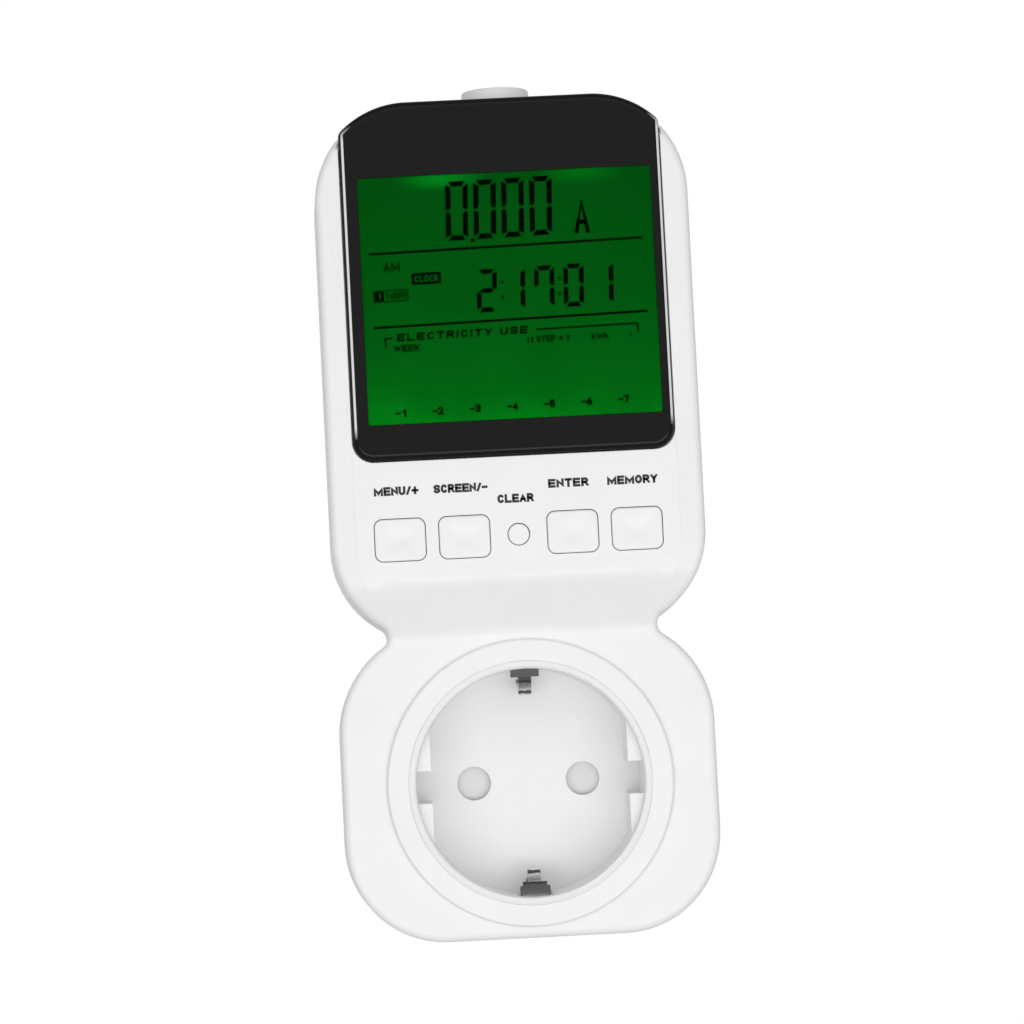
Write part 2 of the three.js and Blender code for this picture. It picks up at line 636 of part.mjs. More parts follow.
// A brass strip that joins both earth clips to the plug's earth contacts, as a bridge with legs.
function earthStrap() {
  const clipLeg = CLIP_ROOT.y + GAP
  const bridge = [CONTACT_FRONT + 2.6, CONTACT_FRONT + 3.4]
  const plugLeg = PLUG_EARTH_FRONT - 0.2
  const legs = [-1, 1].flatMap((side) => {
    const reach = (from, to) => (side > 0 ? [from, to] : [-to, -from])
    return [
      box([-2.5, 2.5], [clipLeg, bridge[1]], reach(17.2, 18)),
      box([-2.5, 2.5], [bridge[0], plugLeg], reach(17.3, 18.1)),
    ]
  })
  return join(box([-2.5, 2.5], bridge, [-18, 18]), ...legs)
}

function outlet() {
  return [
    piece('socket_cup', socketCup(), 'whitePlastic'),
    piece('shutter', shutter(), 'greyShutter'),
    piece('shutter_carrier', shutterCarrier(), 'whitePlastic'),
    piece('shutter_spring', shutterSpring(), 'steel'),
    piece('live_contact', pinContact(PIN_X), 'brass'),
    piece('neutral_contact', pinContact(-PIN_X), 'brass'),
    piece('upper_earth_clip', earthClip(1), 'nickel'),
    piece('lower_earth_clip', earthClip(-1), 'nickel'),
    piece('earth_strap', earthStrap(), 'brass'),
  ]
}

// ---------------------------------------------------------------- rear cover

function rearCover() {
  const seam = PARTING + GAP / 2
  const outside = drafted(plate(housingOutline(0), seam, BACK))
  const hollow = drafted(plate(housingOutline(WALL), PARTING, BACK - WALL))
  const posts = COVER_SCREWS.map(([x, z]) => rod(COVER_POST_RADIUS, [seam, BACK - 1], x, z, 16))
  const boardPosts = [-1, 1].map((side) => rod(
    METERING_POST_RADIUS, [METERING_BOARD.front + METERING_BOARD.thickness + GAP / 2, BACK - 1],
    side * METERING_SCREW.x, METERING_SCREW.z, 12))
  const boardPilots = [-1, 1].map((side) => rod(
    BOARD_SHANK_RADIUS + GAP, [METERING_BOARD.front, BACK - 3],
    side * METERING_SCREW.x, METERING_SCREW.z, 10))
  const screwWays = COVER_SCREWS.flatMap(([x, z]) => [
    rod(COVER_SHANK_RADIUS + GAP, [seam - 1, BACK + 1], x, z, 12),
    rod(COVER_HEAD_RADIUS + GAP, [COVER_HEAD_SEAT, BACK + 1], x, z, 16),
  ])
  return cut(
    join(cut(outside, hollow), ...posts, ...boardPosts), ...boardPilots, ...screwWays,
    rod(PLUG_BASE_RADIUS + GAP, [BACK - 5, BACK + 1], 0, 0, 48))
}

function coverScrew([x, z]) {
  const seat = COVER_HEAD_SEAT + 0.1
  return join(
    rod(COVER_HEAD_RADIUS, [seat, seat + 2], x, z, 16),
    rod(COVER_SHANK_RADIUS, [seat - 16, seat + 0.1], x, z, 10))
}

// ---------------------------------------------------------------- plug

// The plug body is hollow from inside; its sides are flat except for a rib that runs between
// the guide blocks of a wall socket.
function plugBase() {
  const flangeBack = BACK - WALL - 0.15
  const body = turned([
    [0, -4], [14.8, -4], [14.8, flangeBack - 1.7], [21, flangeBack - 1.7], [21, flangeBack],
    [PLUG_BASE_RADIUS, flangeBack], [PLUG_BASE_RADIUS, -0.8], [PLUG_BASE_RADIUS - 0.8, 0], [0, 0],
  ])
  const flats = [[-20, -16.5], [16.5, 20]].flatMap((x) => [
    box(x, [BACK + 0.6, 1], [2.4, 12]), box(x, [BACK + 0.6, 1], [-12, -2.4]),
  ])
  const channels = [[17, 22], [-22, -17]].flatMap((z) => [
    box([-4.5, 4.5], [BACK + 0.6, 1], z), box([-2.9, 2.9], [-30, 1], z),
  ])
  const collars = [-PIN_X, PIN_X].map((x) => rod(4.2, [-10, -3.9], x, 0, 16))
  const holes = [-PIN_X, PIN_X].map((x) => rod(PIN_RADIUS + GAP, [-12, 1], x, 0, 16))
  return cut(join(body, ...collars), ...flats, ...channels, ...holes, rod(3, [-5, 1], 0, 10, 20))
}

function plugPin(x) {
  const tip = PIN_LENGTH - PIN_RADIUS
  const dome = [0, 1, 2, 3].map((i) => {
    const angle = i * Math.PI / 6
    return [PIN_RADIUS * Math.cos(angle), tip + PIN_RADIUS * Math.sin(angle)]
  })
  dome[3][0] = 0
  return turned([[0, -16], [PIN_RADIUS, -16], ...dome], 16).translate(x, 0, 0)
}

function plugEarth(side) {
  const reach = side > 0 ? [17.2, 18] : [-18, -17.2]
  return join(
    box([-2.6, 2.6], [-15, -1], reach), box([-2.2, 2.2], [PLUG_EARTH_FRONT, -14], reach))
}

function plug() {
  const receptacle = turned([
    [2.5, -16], [3.2, -16], [3.2, -4.3], [2.5, -4.3], [2.5, -16],
  ], 20).translate(0, 0, 10)
  return [
    piece('plug_base', plugBase(), 'whitePlastic'),
    piece('live_pin', plugPin(PIN_X), 'nickel'),
    piece('neutral_pin', plugPin(-PIN_X), 'nickel'),
    piece('upper_plug_earth', plugEarth(1), 'nickel'),
    piece('lower_plug_earth', plugEarth(-1), 'nickel'),
    piece('earth_receptacle', receptacle, 'brass'),
  ]
}

// ---------------------------------------------------------------- wiring

function supplyLead(side) {
  const radius = 0.9
  const boardRun = METERING_BOARD.front + METERING_BOARD.thickness + radius + GAP
  return lead([
    [side * PIN_X, CONTACT_BACK - 3, 4.4], [side * 10, CONTACT_BACK - 3.2, 14],
    [side * 12, CONTACT_BACK - 3.4, 25], [side * 13, boardRun + 0.6, 34], [side * 13, boardRun, 42],
  ], radius, 14, 4)
}

// ---------------------------------------------------------------- the meter

const meter = new THREE.Group()
meter.add(
  piece('front_cover', frontCover(), 'whitePlastic'),
  piece('rear_cover', rearCover(), 'whitePlastic'),
  ...COVER_SCREWS.map((place, i) => piece(`cover_screw_${i + 1}`, coverScrew(place), 'steel')),
  ...displayStack(),
  ...keys(),
  ...topButton(),
  ...displayBoard(),
  ...meteringBoard(),
  piece('ribbon_cable', ribbonCable(), 'greyRibbon'),
  ...outlet(),
  ...plug(),
  piece('live_lead', supplyLead(1), 'brownInsulation'),
  piece('neutral_lead', supplyLead(-1), 'blueInsulation'),
)

export default meter
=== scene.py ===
"""Looks for the plug-in power meter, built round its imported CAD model.

Lengths in this script are millimetres until a piece is made, which is in metres. The frame is
the CAD's: +X right, +Y into the wall, +Z up, with the origin in the middle of the plug's face.
"""

import json
import math

import bmesh
import bpy
import numpy as np
from mathutils import Matrix, Vector, geometry


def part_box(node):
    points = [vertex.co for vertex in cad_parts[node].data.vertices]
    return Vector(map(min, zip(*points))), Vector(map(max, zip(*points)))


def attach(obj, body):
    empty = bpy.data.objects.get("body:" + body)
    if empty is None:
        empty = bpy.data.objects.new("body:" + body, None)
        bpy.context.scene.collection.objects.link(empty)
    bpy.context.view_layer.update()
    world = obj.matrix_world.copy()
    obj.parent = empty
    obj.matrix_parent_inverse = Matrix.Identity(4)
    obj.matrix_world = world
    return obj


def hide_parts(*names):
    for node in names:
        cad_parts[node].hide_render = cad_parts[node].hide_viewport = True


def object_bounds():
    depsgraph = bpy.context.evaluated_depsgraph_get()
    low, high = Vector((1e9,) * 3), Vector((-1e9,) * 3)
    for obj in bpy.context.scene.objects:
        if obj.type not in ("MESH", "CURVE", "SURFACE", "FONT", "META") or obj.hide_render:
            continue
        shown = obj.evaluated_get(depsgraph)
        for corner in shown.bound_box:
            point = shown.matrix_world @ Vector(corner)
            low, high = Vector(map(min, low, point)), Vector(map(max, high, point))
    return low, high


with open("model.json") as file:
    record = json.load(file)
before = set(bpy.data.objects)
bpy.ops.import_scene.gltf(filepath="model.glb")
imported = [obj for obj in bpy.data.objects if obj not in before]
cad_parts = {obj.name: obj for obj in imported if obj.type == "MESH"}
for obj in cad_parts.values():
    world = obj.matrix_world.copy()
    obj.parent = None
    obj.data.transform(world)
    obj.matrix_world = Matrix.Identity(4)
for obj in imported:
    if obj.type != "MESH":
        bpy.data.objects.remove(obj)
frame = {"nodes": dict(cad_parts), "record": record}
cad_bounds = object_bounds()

MM = 0.001


# ------------------------------------------------------------------ sizes, from the frame


def corners(node):
    low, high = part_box(node)
    return low / MM, high / MM


def middle(node):
    low, high = corners(node)
    return (low + high) / 2


front_low, front_high = corners("front_cover")
rear_low, rear_high = corners("rear_cover")
window_low, window_high = corners("display_window")
glass_low, glass_high = corners("lcd_glass")

GAP = 0.3
WALL = 2.2
INNER_DEPTH = WALL + 0.2  # from the casing's outer face to its inner one
HEAD_FACE = front_low.y
RIM = HEAD_FACE + 5
SOCKET_FACE = RIM + 1.5
BACK = rear_high.y
PARTING = (front_high.y + rear_low.y) / 2
FRONT_SEAM = front_high.y
REAR_SEAM = rear_low.y

# The casing's outline at the seam: arcs joined by straight lines, the same on both sides.
HALF_WIDTH = rear_high.x
LOWER_CORNER = (15.5, -9.9)
SHOULDER = (14.6, 8.9)
HEAD_BOTTOM = (16.1, 42.0)
HEAD_TOP = (15.7, 100.7)
NOTCH_RADIUS = 2.1
DRAFT = 0.036
MIDDLE_Z = 45.0
HALF_LENGTH = 72.5

# The casing's face.
SLOPE_FOOT_Z = 25.0
SLOPE_TOP_Z = 35.5
EDGE_RADIUS = 1.3
BAND_STEP = 0.14
BAND_FALL = 0.55
SEAT_FACE = window_high.y + GAP / 2
SEAT_HALF = window_high.x + GAP / 2
SEAT_BOTTOM = window_low.z - GAP / 2
WINDOW_CORNER = 3.6

# The outlet and the plug, both round the origin's axis.
RING_RADIUS = 24.5
BORE_RADIUS = 20.85
RECESS_RADIUS = 19.5
RECESS_FLOOR = RIM + 17.5
FLOOR_BACK = corners("socket_cup")[1].y
PIN_X = middle("live_pin").x
PIN_HOLE_RADIUS = 2.95
CUP_RADIUS = 22.5
CLIP_ROOT_Z = 17.4
CLIP_SLOT_FLOOR = 20.7  # just behind the lip
DEEP_SLOT_FLOOR = 22.0  # further in, where the clips' heads swing out
PLUG_RADIUS = 18.9

# The keys and the round button on the top edge.
KEYS = ["value_key", "display_key", "set_key", "history_key"]
KEY_BACK = HEAD_FACE + 2.7
KEY_CORNER = 1.1
KEY_SLOT = 0.34  # the hole's clearance round the CAD's key
CAP_GROWTH = 0.22  # the caps nearly fill their holes
KEY_FLANGE = 0.85
FLANGE_THICKNESS = 0.8
RESET_RADIUS = 1.6
BUTTON_FLANGE = 1.3
BUTTON_RADIUS = (corners("top_button")[1].x - corners("top_button")[0].x) / 2 - BUTTON_FLANGE

# The arc of the window's top corners, and where, round the head's top corner, the window's seat
# runs out through the casing's edge.
WINDOW_ARC = HALF_WIDTH - HEAD_TOP[0] - 0.8
SEAT_TURN = math.degrees(math.acos(
    (SEAT_HALF / (1 - DRAFT * (PARTING - HEAD_FACE) / HALF_WIDTH) - HEAD_TOP[0])
    / (HALF_WIDTH - HEAD_TOP[0] - EDGE_RADIUS)))

# The clear area of the window, in front of the display.
VIEW_X = (glass_low.x + glass_high.x) / 2
VIEW_Z = (glass_low.z + glass_high.z) / 2
VIEW_WIDTH = glass_high.x - glass_low.x - 2.4
VIEW_HEIGHT = glass_high.z - glass_low.z - 2.8

# What the display shows.
LEAN_DEG = 0.86  # the display sits a little askew in its window
ITALIC = 0.05
INK = 0.03
DOT_U = -5.6
SEGMENTS = {"0": "abcdef", "1": "bc", "2": "abged", "7": "abcf"}


# ------------------------------------------------------------------ materials


def set_stops(ramp, stops):
    while len(ramp.color_ramp.elements) < len(stops):
        ramp.color_ramp.elements.new(0.5)
    for element, (position, colour) in zip(ramp.color_ramp.elements, stops):
        element.position = position
        element.color = (*colour, 1)


class Finish:
    """A Principled material whose patterns follow the piece, in the CAD's own frame."""

    def __init__(self, name):
        self.material = bpy.data.materials.new(name)
        self.material.use_nodes = True
        self.tree = self.material.node_tree
        self.shader = self.tree.nodes["Principled BSDF"]
        self.place = self.node("ShaderNodeTexCoord").outputs["Object"]

    def node(self, kind, **settings):
        node = self.tree.nodes.new(kind)
        for key, value in settings.items():
            setattr(node, key, value)
        return node

    def link(self, source, target):
        self.tree.links.new(source, target)

    def drive(self, name, source):
        self.link(source, self.shader.inputs[name])

    def noise(self, size_mm, detail=4.0, stretch=(1, 1, 1)):
        """Noise with features of about size_mm, drawn out along the axes by stretch."""
        mapping = self.node("ShaderNodeMapping")
        mapping.inputs["Scale"].default_value = [1 / (size_mm * MM * s) for s in stretch]
        self.link(self.place, mapping.inputs["Vector"])
        noise = self.node("ShaderNodeTexNoise")
        noise.inputs["Scale"].default_value = 1
        noise.inputs["Detail"].default_value = detail
        self.link(mapping.outputs["Vector"], noise.inputs["Vector"])
        return noise.outputs["Fac"]

    def ramp(self, source, *stops):
        ramp = self.node("ShaderNodeValToRGB")
        set_stops(ramp, stops)
        self.link(source, ramp.inputs["Fac"])
        return ramp.outputs["Color"]

    def tint(self, source, *stops):
        """The base colour, by a ramp over a pattern."""
        self.drive("Base Color", self.ramp(source, *stops))

    def remap(self, source, low, high, to_low, to_high, smooth=False):
        remap = self.node("ShaderNodeMapRange", interpolation_type="SMOOTHSTEP" if smooth else "LINEAR")
        for name, value in zip(("From Min", "From Max", "To Min", "To Max"), (low, high, to_low, to_high)):
            remap.inputs[name].default_value = value
        self.link(source, remap.inputs["Value"])
        return remap.outputs["Result"]

    def math(self, operation, first, second):
        node = self.node("ShaderNodeMath", operation=operation)
        for socket, value in zip(node.inputs, (first, second)):
            if isinstance(value, (int, float)):
                socket.default_value = value
            else:
                self.link(value, socket)
        return node.outputs["Value"]

    def mix(self, share, first, colour):
        """first where share is 0, and a plain colour where it is 1."""
        node = self.node("ShaderNodeMix", data_type="RGBA")
        self.link(share, node.inputs["Factor"])
        self.link(first, node.inputs["A"])
        node.inputs["B"].default_value = (*colour, 1)
        return node.outputs["Result"]

    def axes(self):
        split = self.node("ShaderNodeSeparateXYZ")
        self.link(self.place, split.inputs["Vector"])
        return split.outputs

    def distance(self, centre_mm, reach_mm):
        """Distance from a centre in units of reach_mm, which may differ along each axis."""
        mapping = self.node("ShaderNodeMapping")
        mapping.inputs["Scale"].default_value = [1 / (r * MM) for r in reach_mm]
        mapping.inputs["Location"].default_value = [-c / r for c, r in zip(centre_mm, reach_mm)]
        self.link(self.place, mapping.inputs["Vector"])
        length = self.node("ShaderNodeVectorMath", operation="LENGTH")
        self.link(mapping.outputs["Vector"], length.inputs[0])
        return length.outputs["Value"]

    def bump(self, source, strength, depth_mm):
        bump = self.node("ShaderNodeBump")
        bump.inputs["Strength"].default_value = strength
        bump.inputs["Distance"].default_value = depth_mm * MM
        self.link(source, bump.inputs["Height"])
        self.drive("Normal", bump.outputs["Normal"])

    def set(self, **values):
        for name, value in values.items():
            self.shader.inputs[name.replace("_", " ")].default_value = value


def scaled(colour, factor):
    return tuple(c * factor for c in colour)


def plastic(name, colour, roughness=0.42, grain_mm=0.16, grain_depth=0.012, mottle=0.03, gloss=0.5):
    """Moulded plastic: faint flow clouds, a fine spark-eroded grain, and a few duller patches."""
    finish = Finish(name)
    finish.tint(finish.noise(9, 3), (0.3, scaled(colour, 1 - mottle)), (0.7, colour))
    wear = finish.noise(3.5, 5)
    finish.drive("Roughness", finish.remap(wear, 0.35, 0.65, roughness - 0.04, roughness + 0.06))
    finish.bump(finish.noise(grain_mm, 2), 0.5, grain_depth)
    finish.set(Specular_IOR_Level=gloss)
    return finish.material


def metal(name, colour, roughness=0.25, brush=(1, 1, 1), brush_mm=0.3, mottle=0.12, bump=0.2):
    """Plated or rolled metal: drawn lines, patchy tarnish and uneven gloss."""
    finish = Finish(name)
    finish.tint(finish.noise(1.8, 5), (0.3, scaled(colour, 1 - mottle)), (0.65, colour))
    lines = finish.noise(brush_mm, 3, brush)
    finish.drive("Roughness", finish.remap(lines, 0.3, 0.7, roughness * 0.75, roughness * 1.35))
    finish.bump(lines, bump, 0.01)
    finish.set(Metallic=1.0)
    return finish.material


def casing_white():
    return plastic("casing_white", (0.9, 0.9, 0.9), 0.4, 0.14, 0.006, 0.02)


def key_white():
    return plastic("key_white", (0.9, 0.9, 0.9), 0.34, 0.3, 0.004, 0.02)


def window_black():
    """Polished acrylic printed black from behind, with a painted highlight: a pale band of base colour along
    its rolled edge.
    """
    finish = Finish("window_black")
    dust = finish.ramp(finish.noise(0.5, 8),
                       (0.35, (0.0035, 0.0035, 0.0038)), (0.7, (0.0062, 0.0062, 0.0065)))
    off_centre, highlight_start, highlight_end, blur = 0.15, 0.26, 0.74, 0.08
    axes = finish.axes()
    across = finish.math("ABSOLUTE", finish.math("SUBTRACT", axes["X"], off_centre * MM), 0)
    past_x = finish.math("MAXIMUM", finish.math("SUBTRACT", across, HEAD_TOP[0] * MM), 0.0)
    past_z = finish.math("MAXIMUM", finish.math("SUBTRACT", axes["Z"], HEAD_TOP[1] * MM), 0.0)
    reach = finish.math("SQRT", finish.math(
        "ADD", finish.math("MULTIPLY", past_x, past_x), finish.math("MULTIPLY", past_z, past_z)), 0)
    inset = finish.math("MINIMUM", finish.math("SUBTRACT", window_high.x * MM, across),
                        finish.math("SUBTRACT", WINDOW_ARC * MM, reach))
    # The painted highlight: a pale band of base colour set in from the rolled edge, where a side light would
    # glint.
    line = finish.math("MULTIPLY",
                       finish.remap(inset, highlight_start * MM, (highlight_start + blur) * MM, 0, 1),
                       finish.remap(inset, (highlight_end - blur) * MM, highlight_end * MM, 1, 0))
    highlight_fades = ((59.5, 61.5, 0, 1), (110.8, 113.2, 1, 0))  # along Z, where the painted highlight tapers off at its two ends
    for low, high, start, stop in highlight_fades:
        line = finish.math("MULTIPLY", line, finish.remap(axes["Z"], low * MM, high * MM, start, stop))
    finish.drive("Base Color", finish.mix(line, dust, (0.8, 0.8, 0.8)))
    finish.drive("Roughness", finish.remap(finish.noise(6, 4), 0.35, 0.65, 0.06, 0.14))
    finish.bump(finish.noise(5, 2), 0.15, 0.01)
    finish.set(Specular_IOR_Level=0.16)
    return finish.material


def clear_pane():
    """The unprinted middle of the acrylic window."""
    finish = Finish("clear_pane")
    finish.drive("Roughness", finish.remap(finish.noise(6, 4), 0.35, 0.65, 0.0, 0.03))
    finish.bump(finish.noise(8, 2), 0.05, 0.005)
    finish.set(Base_Color=(1, 1, 1, 1), Transmission_Weight=1.0, IOR=1.04)
    return finish.material


def display_green():
    """Backlit glass: brighter along the bottom and under the two lamps at the top edge."""
    finish = Finish("display_green")
    bottom, top = VIEW_Z - VIEW_HEIGHT / 2, VIEW_Z + VIEW_HEIGHT / 2
    rise = finish.remap(finish.axes()["Z"], bottom * MM, top * MM, 0, 1)
    cloud = finish.remap(finish.noise(12, 3), 0.3, 0.7, -0.05, 0.05)
    glowing = finish.ramp(
        finish.math("ADD", rise, cloud), (0.0, (0.0, 0.185, 0.006)), (0.05, (0.0, 0.145, 0.005)),
        (0.14, (0.0, 0.116, 0.004)), (0.3, (0.0, 0.094, 0.004)), (0.5, (0.0, 0.079, 0.003)),
        (1.0, (0.0, 0.068, 0.003)))
    finish.drive("Emission Color", glowing)
    strength = 1.0
    for lamp, share in (("backlight_led_left", 2.0), ("backlight_led_right", 0.9)):
        away = finish.distance((middle(lamp).x, glass_low.y, top - 0.3), (9, 5, 2.3))
        strength = finish.math("ADD", finish.remap(away, 0, 1, share, 0, True), strength)
    finish.drive("Emission Strength", strength)
    finish.tint(finish.noise(3, 3), (0.3, (0.001, 0.004, 0.001)), (0.7, (0.001, 0.005, 0.001)))
    finish.set(Roughness=0.4, Specular_IOR_Level=0.0)
    return finish.material


def display_ink():
    """The darkened liquid crystal and printed lines of the display."""
    finish = Finish("display_ink")
    finish.tint(finish.noise(0.6, 3), (0.3, (0.0, 0.004, 0.0)), (0.7, (0.0, 0.007, 0.0)))
    finish.set(Roughness=0.6, Specular_IOR_Level=0.0)
    return finish.material


def label_ink():
    """Pad-printed legends: nearly black, a little thin and uneven."""
    finish = Finish("label_ink")
    finish.tint(finish.noise(0.25, 4), (0.35, (0.008, 0.008, 0.009)), (0.65, (0.02, 0.02, 0.021)))
    finish.bump(finish.noise(0.1, 2), 0.3, 0.004)
    finish.set(Roughness=0.55)
    return finish.material


def nickel_plate():
    return metal("nickel_plate", (0.66, 0.65, 0.62), 0.2, (1, 6, 1), 0.25, 0.2)


def clip_nickel_painted_shade_and_glints():
    """Plated spring strip with painted shade and painted reflections: lighter and darker bands across the
    neck and a dim wide head.
    """
    finish = Finish("clip_nickel_painted_shade_and_glints")
    reach = finish.math("ABSOLUTE", finish.axes()["Z"], 0)
    patch = finish.remap(finish.noise(0.8, 4), 0.3, 0.7, -0.1 * MM, 0.1 * MM)
    # Distance from the outlet's axis sets the painted bands; the noise only wobbles their edges.
    share = finish.remap(finish.math("ADD", reach, patch), 15 * MM, 20 * MM, 0, 1)
    # Levels of the painted glints and painted shade, where light and shade fall on the real clip.
    painted_bright, painted_mid, painted_dim, painted_dark = (scaled((1.0, 0.99, 0.97), level) for level in (0.74, 0.42, 0.22, 0.05))
    finish.tint(share, (0.03, painted_bright), (0.06, painted_dark), (0.14, painted_dark), (0.17, painted_bright), (0.4, painted_mid),
                (0.46, painted_dark), (0.52, painted_dim), (1.0, painted_dim))
    lines = finish.noise(0.2, 3, (1, 5, 1))
    finish.drive("Roughness", finish.remap(lines, 0.3, 0.7, 0.14, 0.28))
    finish.bump(lines, 0.2, 0.01)
    finish.set(Metallic=1.0)
    return finish.material


def contact_brass():
    return metal("contact_brass", (0.72, 0.5, 0.2), 0.3, (1, 8, 1))


def screw_steel():
    return metal("screw_steel", (0.6, 0.61, 0.63), 0.3, (1, 1, 1), 0.2)


def shunt_alloy():
    return metal("shunt_alloy", (0.45, 0.28, 0.19), 0.38, (6, 1, 1))


def crystal_can():
    return metal("crystal_can", (0.66, 0.67, 0.69), 0.26, (1, 1, 6))


def circuit_board():
    """Solder mask over tracks and the weave of the glass cloth."""
    finish = Finish("circuit_board")
    tracks = finish.node("ShaderNodeTexBrick")
    tracks.inputs["Scale"].default_value = 260
    tracks.inputs["Color1"].default_value = (0.006, 0.09, 0.025, 1)
    tracks.inputs["Color2"].default_value = (0.01, 0.13, 0.04, 1)
    tracks.inputs["Mortar"].default_value = (0.004, 0.06, 0.018, 1)
    turned = finish.node("ShaderNodeMapping")
    turned.inputs["Rotation"].default_value = (math.pi / 2, 0, 0)
    finish.link(finish.place, turned.inputs["Vector"])
    finish.link(turned.outputs["Vector"], tracks.inputs["Vector"])
    finish.drive("Base Color", tracks.outputs["Color"])
    finish.drive("Roughness", finish.remap(finish.noise(2, 4), 0.3, 0.7, 0.3, 0.45))
    finish.bump(tracks.outputs["Fac"], 0.3, 0.03)
    return finish.material


def ribbon_grey():
    """Flat cable: ribs along its length, one wire each, with painted shade in the grooves between the ribs.
    """
    finish = Finish("ribbon_grey")
    ribs = finish.node("ShaderNodeTexWave", bands_direction="X")
    ribs.inputs["Scale"].default_value = 250
    finish.link(finish.place, ribs.inputs["Vector"])
    # Painted shade: the tint follows the ribs' wave, darker in the grooves that the bump sinks.
    finish.tint(ribs.outputs["Fac"], (0.1, (0.2, 0.2, 0.21)), (0.6, (0.36, 0.36, 0.37)))
    finish.bump(ribs.outputs["Fac"], 0.6, 0.2)
    finish.set(Roughness=0.5)
    return finish.material


MATERIALS = {
    "casing_white": casing_white(),
    "key_white": key_white(),
    "window_black": window_black(),
    "display_green": display_green(),
    "light_guide": plastic("light_guide", (0.45, 0.78, 0.45), 0.3),
    "black_plastic": plastic("black_plastic", (0.02, 0.02, 0.021), 0.5, mottle=0.2),
    "circuit_board": circuit_board(),
    "chip_black": plastic("chip_black", (0.016, 0.016, 0.018), 0.55, 0.08, 0.01, 0.25),
    "screw_steel": screw_steel(),
    "nickel_plate": nickel_plate(),
    "contact_brass": contact_brass(),
    "shunt_alloy": shunt_alloy(),
    "crystal_can": crystal_can(),
    "shutter_grey": plastic("shutter_grey", (0.84, 0.84, 0.84), 0.48),
    "capacitor_yellow": plastic("capacitor_yellow", (0.6, 0.42, 0.03), 0.35, mottle=0.08),
    "absorber_blue": plastic("absorber_blue", (0.02, 0.08, 0.34), 0.3, 0.6, 0.03, 0.15),
    "fuse_ceramic": plastic("fuse_ceramic", (0.75, 0.71, 0.63), 0.25, 0.4, 0.006),
    "battery_sleeve": plastic("battery_sleeve", (0.03, 0.25, 0.07), 0.28, 1.5, 0.02, 0.1),
    "lead_brown": plastic("lead_brown", (0.13, 0.05, 0.02), 0.45, 0.5, 0.02, 0.15),
    "lead_blue": plastic("lead_blue", (0.02, 0.11, 0.4), 0.45, 0.5, 0.02, 0.15),
    "ribbon_grey": ribbon_grey(),
    "strip_rubber": plastic("strip_rubber", (0.04, 0.04, 0.042), 0.75, 0.2, 0.03, 0.3),
}
CLIP_NICKEL_PAINTED_SHADE_AND_GLINTS = clip_nickel_painted_shade_and_glints()
CLEAR_PANE = clear_pane()
DISPLAY_INK = display_ink()
LABEL_INK = label_ink()


# ------------------------------------------------------------------ mesh building


def put(name, data):
    """A new object in the scene."""
    made = bpy.data.objects.new(name, data)
    bpy.context.scene.collection.objects.link(made)
    return made


SHARP_DEG = 38


class Shell:
    """Faces gathered in millimetres, then welded into one mesh with its normals outwards."""

    def __init__(self):
        self.mesh = bmesh.new()

    def face(self, points):
        self.mesh.faces.new([self.mesh.verts.new(Vector(point) * MM) for point in points])

    def strip(self, *loops):
        """Four-sided faces between closed loops that have the same number of points."""
        for first, second in zip(loops, loops[1:]):
            for i in range(len(first)):
                j = (i + 1) % len(first)
                self.face((first[i], first[j], second[j], second[i]))

    def closed(self, loops):
        """A strip with a flat face at each end."""
        self.strip(*loops)
        self.face(loops[0])
        self.face(loops[-1])

    def fill(self, loops, height, lines=(), grid=()):
        """Triangles over the region inside an odd number of loops, seen along Y."""
        points = [point for loop in loops for point in loop]
        edges = []
        start = 0
        for loop in loops:
            count = len(loop)
            edges += [(start + i, start + (i + 1) % count) for i in range(count)]
            start += count
        for line in lines:
            points += [(x, height(x, z), z) for x, z in line]
            edges += [(start + i, start + i + 1) for i in range(len(line) - 1)]
            start += len(line)
        points += [(x, height(x, z), z) for x, z in grid]
        flat = [Vector((x, z)) for x, _, z in points]
        spots, _, triangles, origins, _, _ = geometry.delaunay_2d_cdt(flat, edges, [], 0, 1e-5)
        placed = [
            points[origin[0]] if origin else (spot.x, height(spot.x, spot.y), spot.y)
            for spot, origin in zip(spots, origins)
        ]
        centres = np.array([np.mean([spots[i] for i in triangle], axis=0) for triangle in triangles])
        for triangle, kept in zip(triangles, inside_odd(centres, loops)):
            if kept:
                self.face([placed[i] for i in triangle])

    def plain_fill(self, *loops):
        """A flat fill, at the depth of its first loop."""
        y = loops[0][0][1]
        self.fill(loops, lambda x, z: y)

    def welded(self, name):
        bmesh.ops.remove_doubles(self.mesh, verts=self.mesh.verts, dist=0.002 * MM)
        bmesh.ops.dissolve_degenerate(self.mesh, edges=self.mesh.edges, dist=1e-5 * MM)
        bmesh.ops.recalc_face_normals(self.mesh, faces=self.mesh.faces)
        mesh = bpy.data.meshes.new(name)
        self.mesh.to_mesh(mesh)
        self.mesh.free()
        return mesh

    def piece(self, name, body, slot, nodes=(), material=None, sharp_deg=SHARP_DEG):
        """Welds the shell into a visible piece that rides on a body and replaces CAD nodes."""
        mesh = self.welded(name)
        for polygon in mesh.polygons:
            polygon.use_smooth = True
        mesh.set_sharp_from_angle(angle=math.radians(sharp_deg))
        mesh.materials.append(material or MATERIALS[slot])
        piece = put(name, mesh)
        piece.modifiers.new("even_shading", "WEIGHTED_NORMAL").keep_sharp = True
        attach(piece, body)
        if nodes:
            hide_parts(*nodes)
        return piece


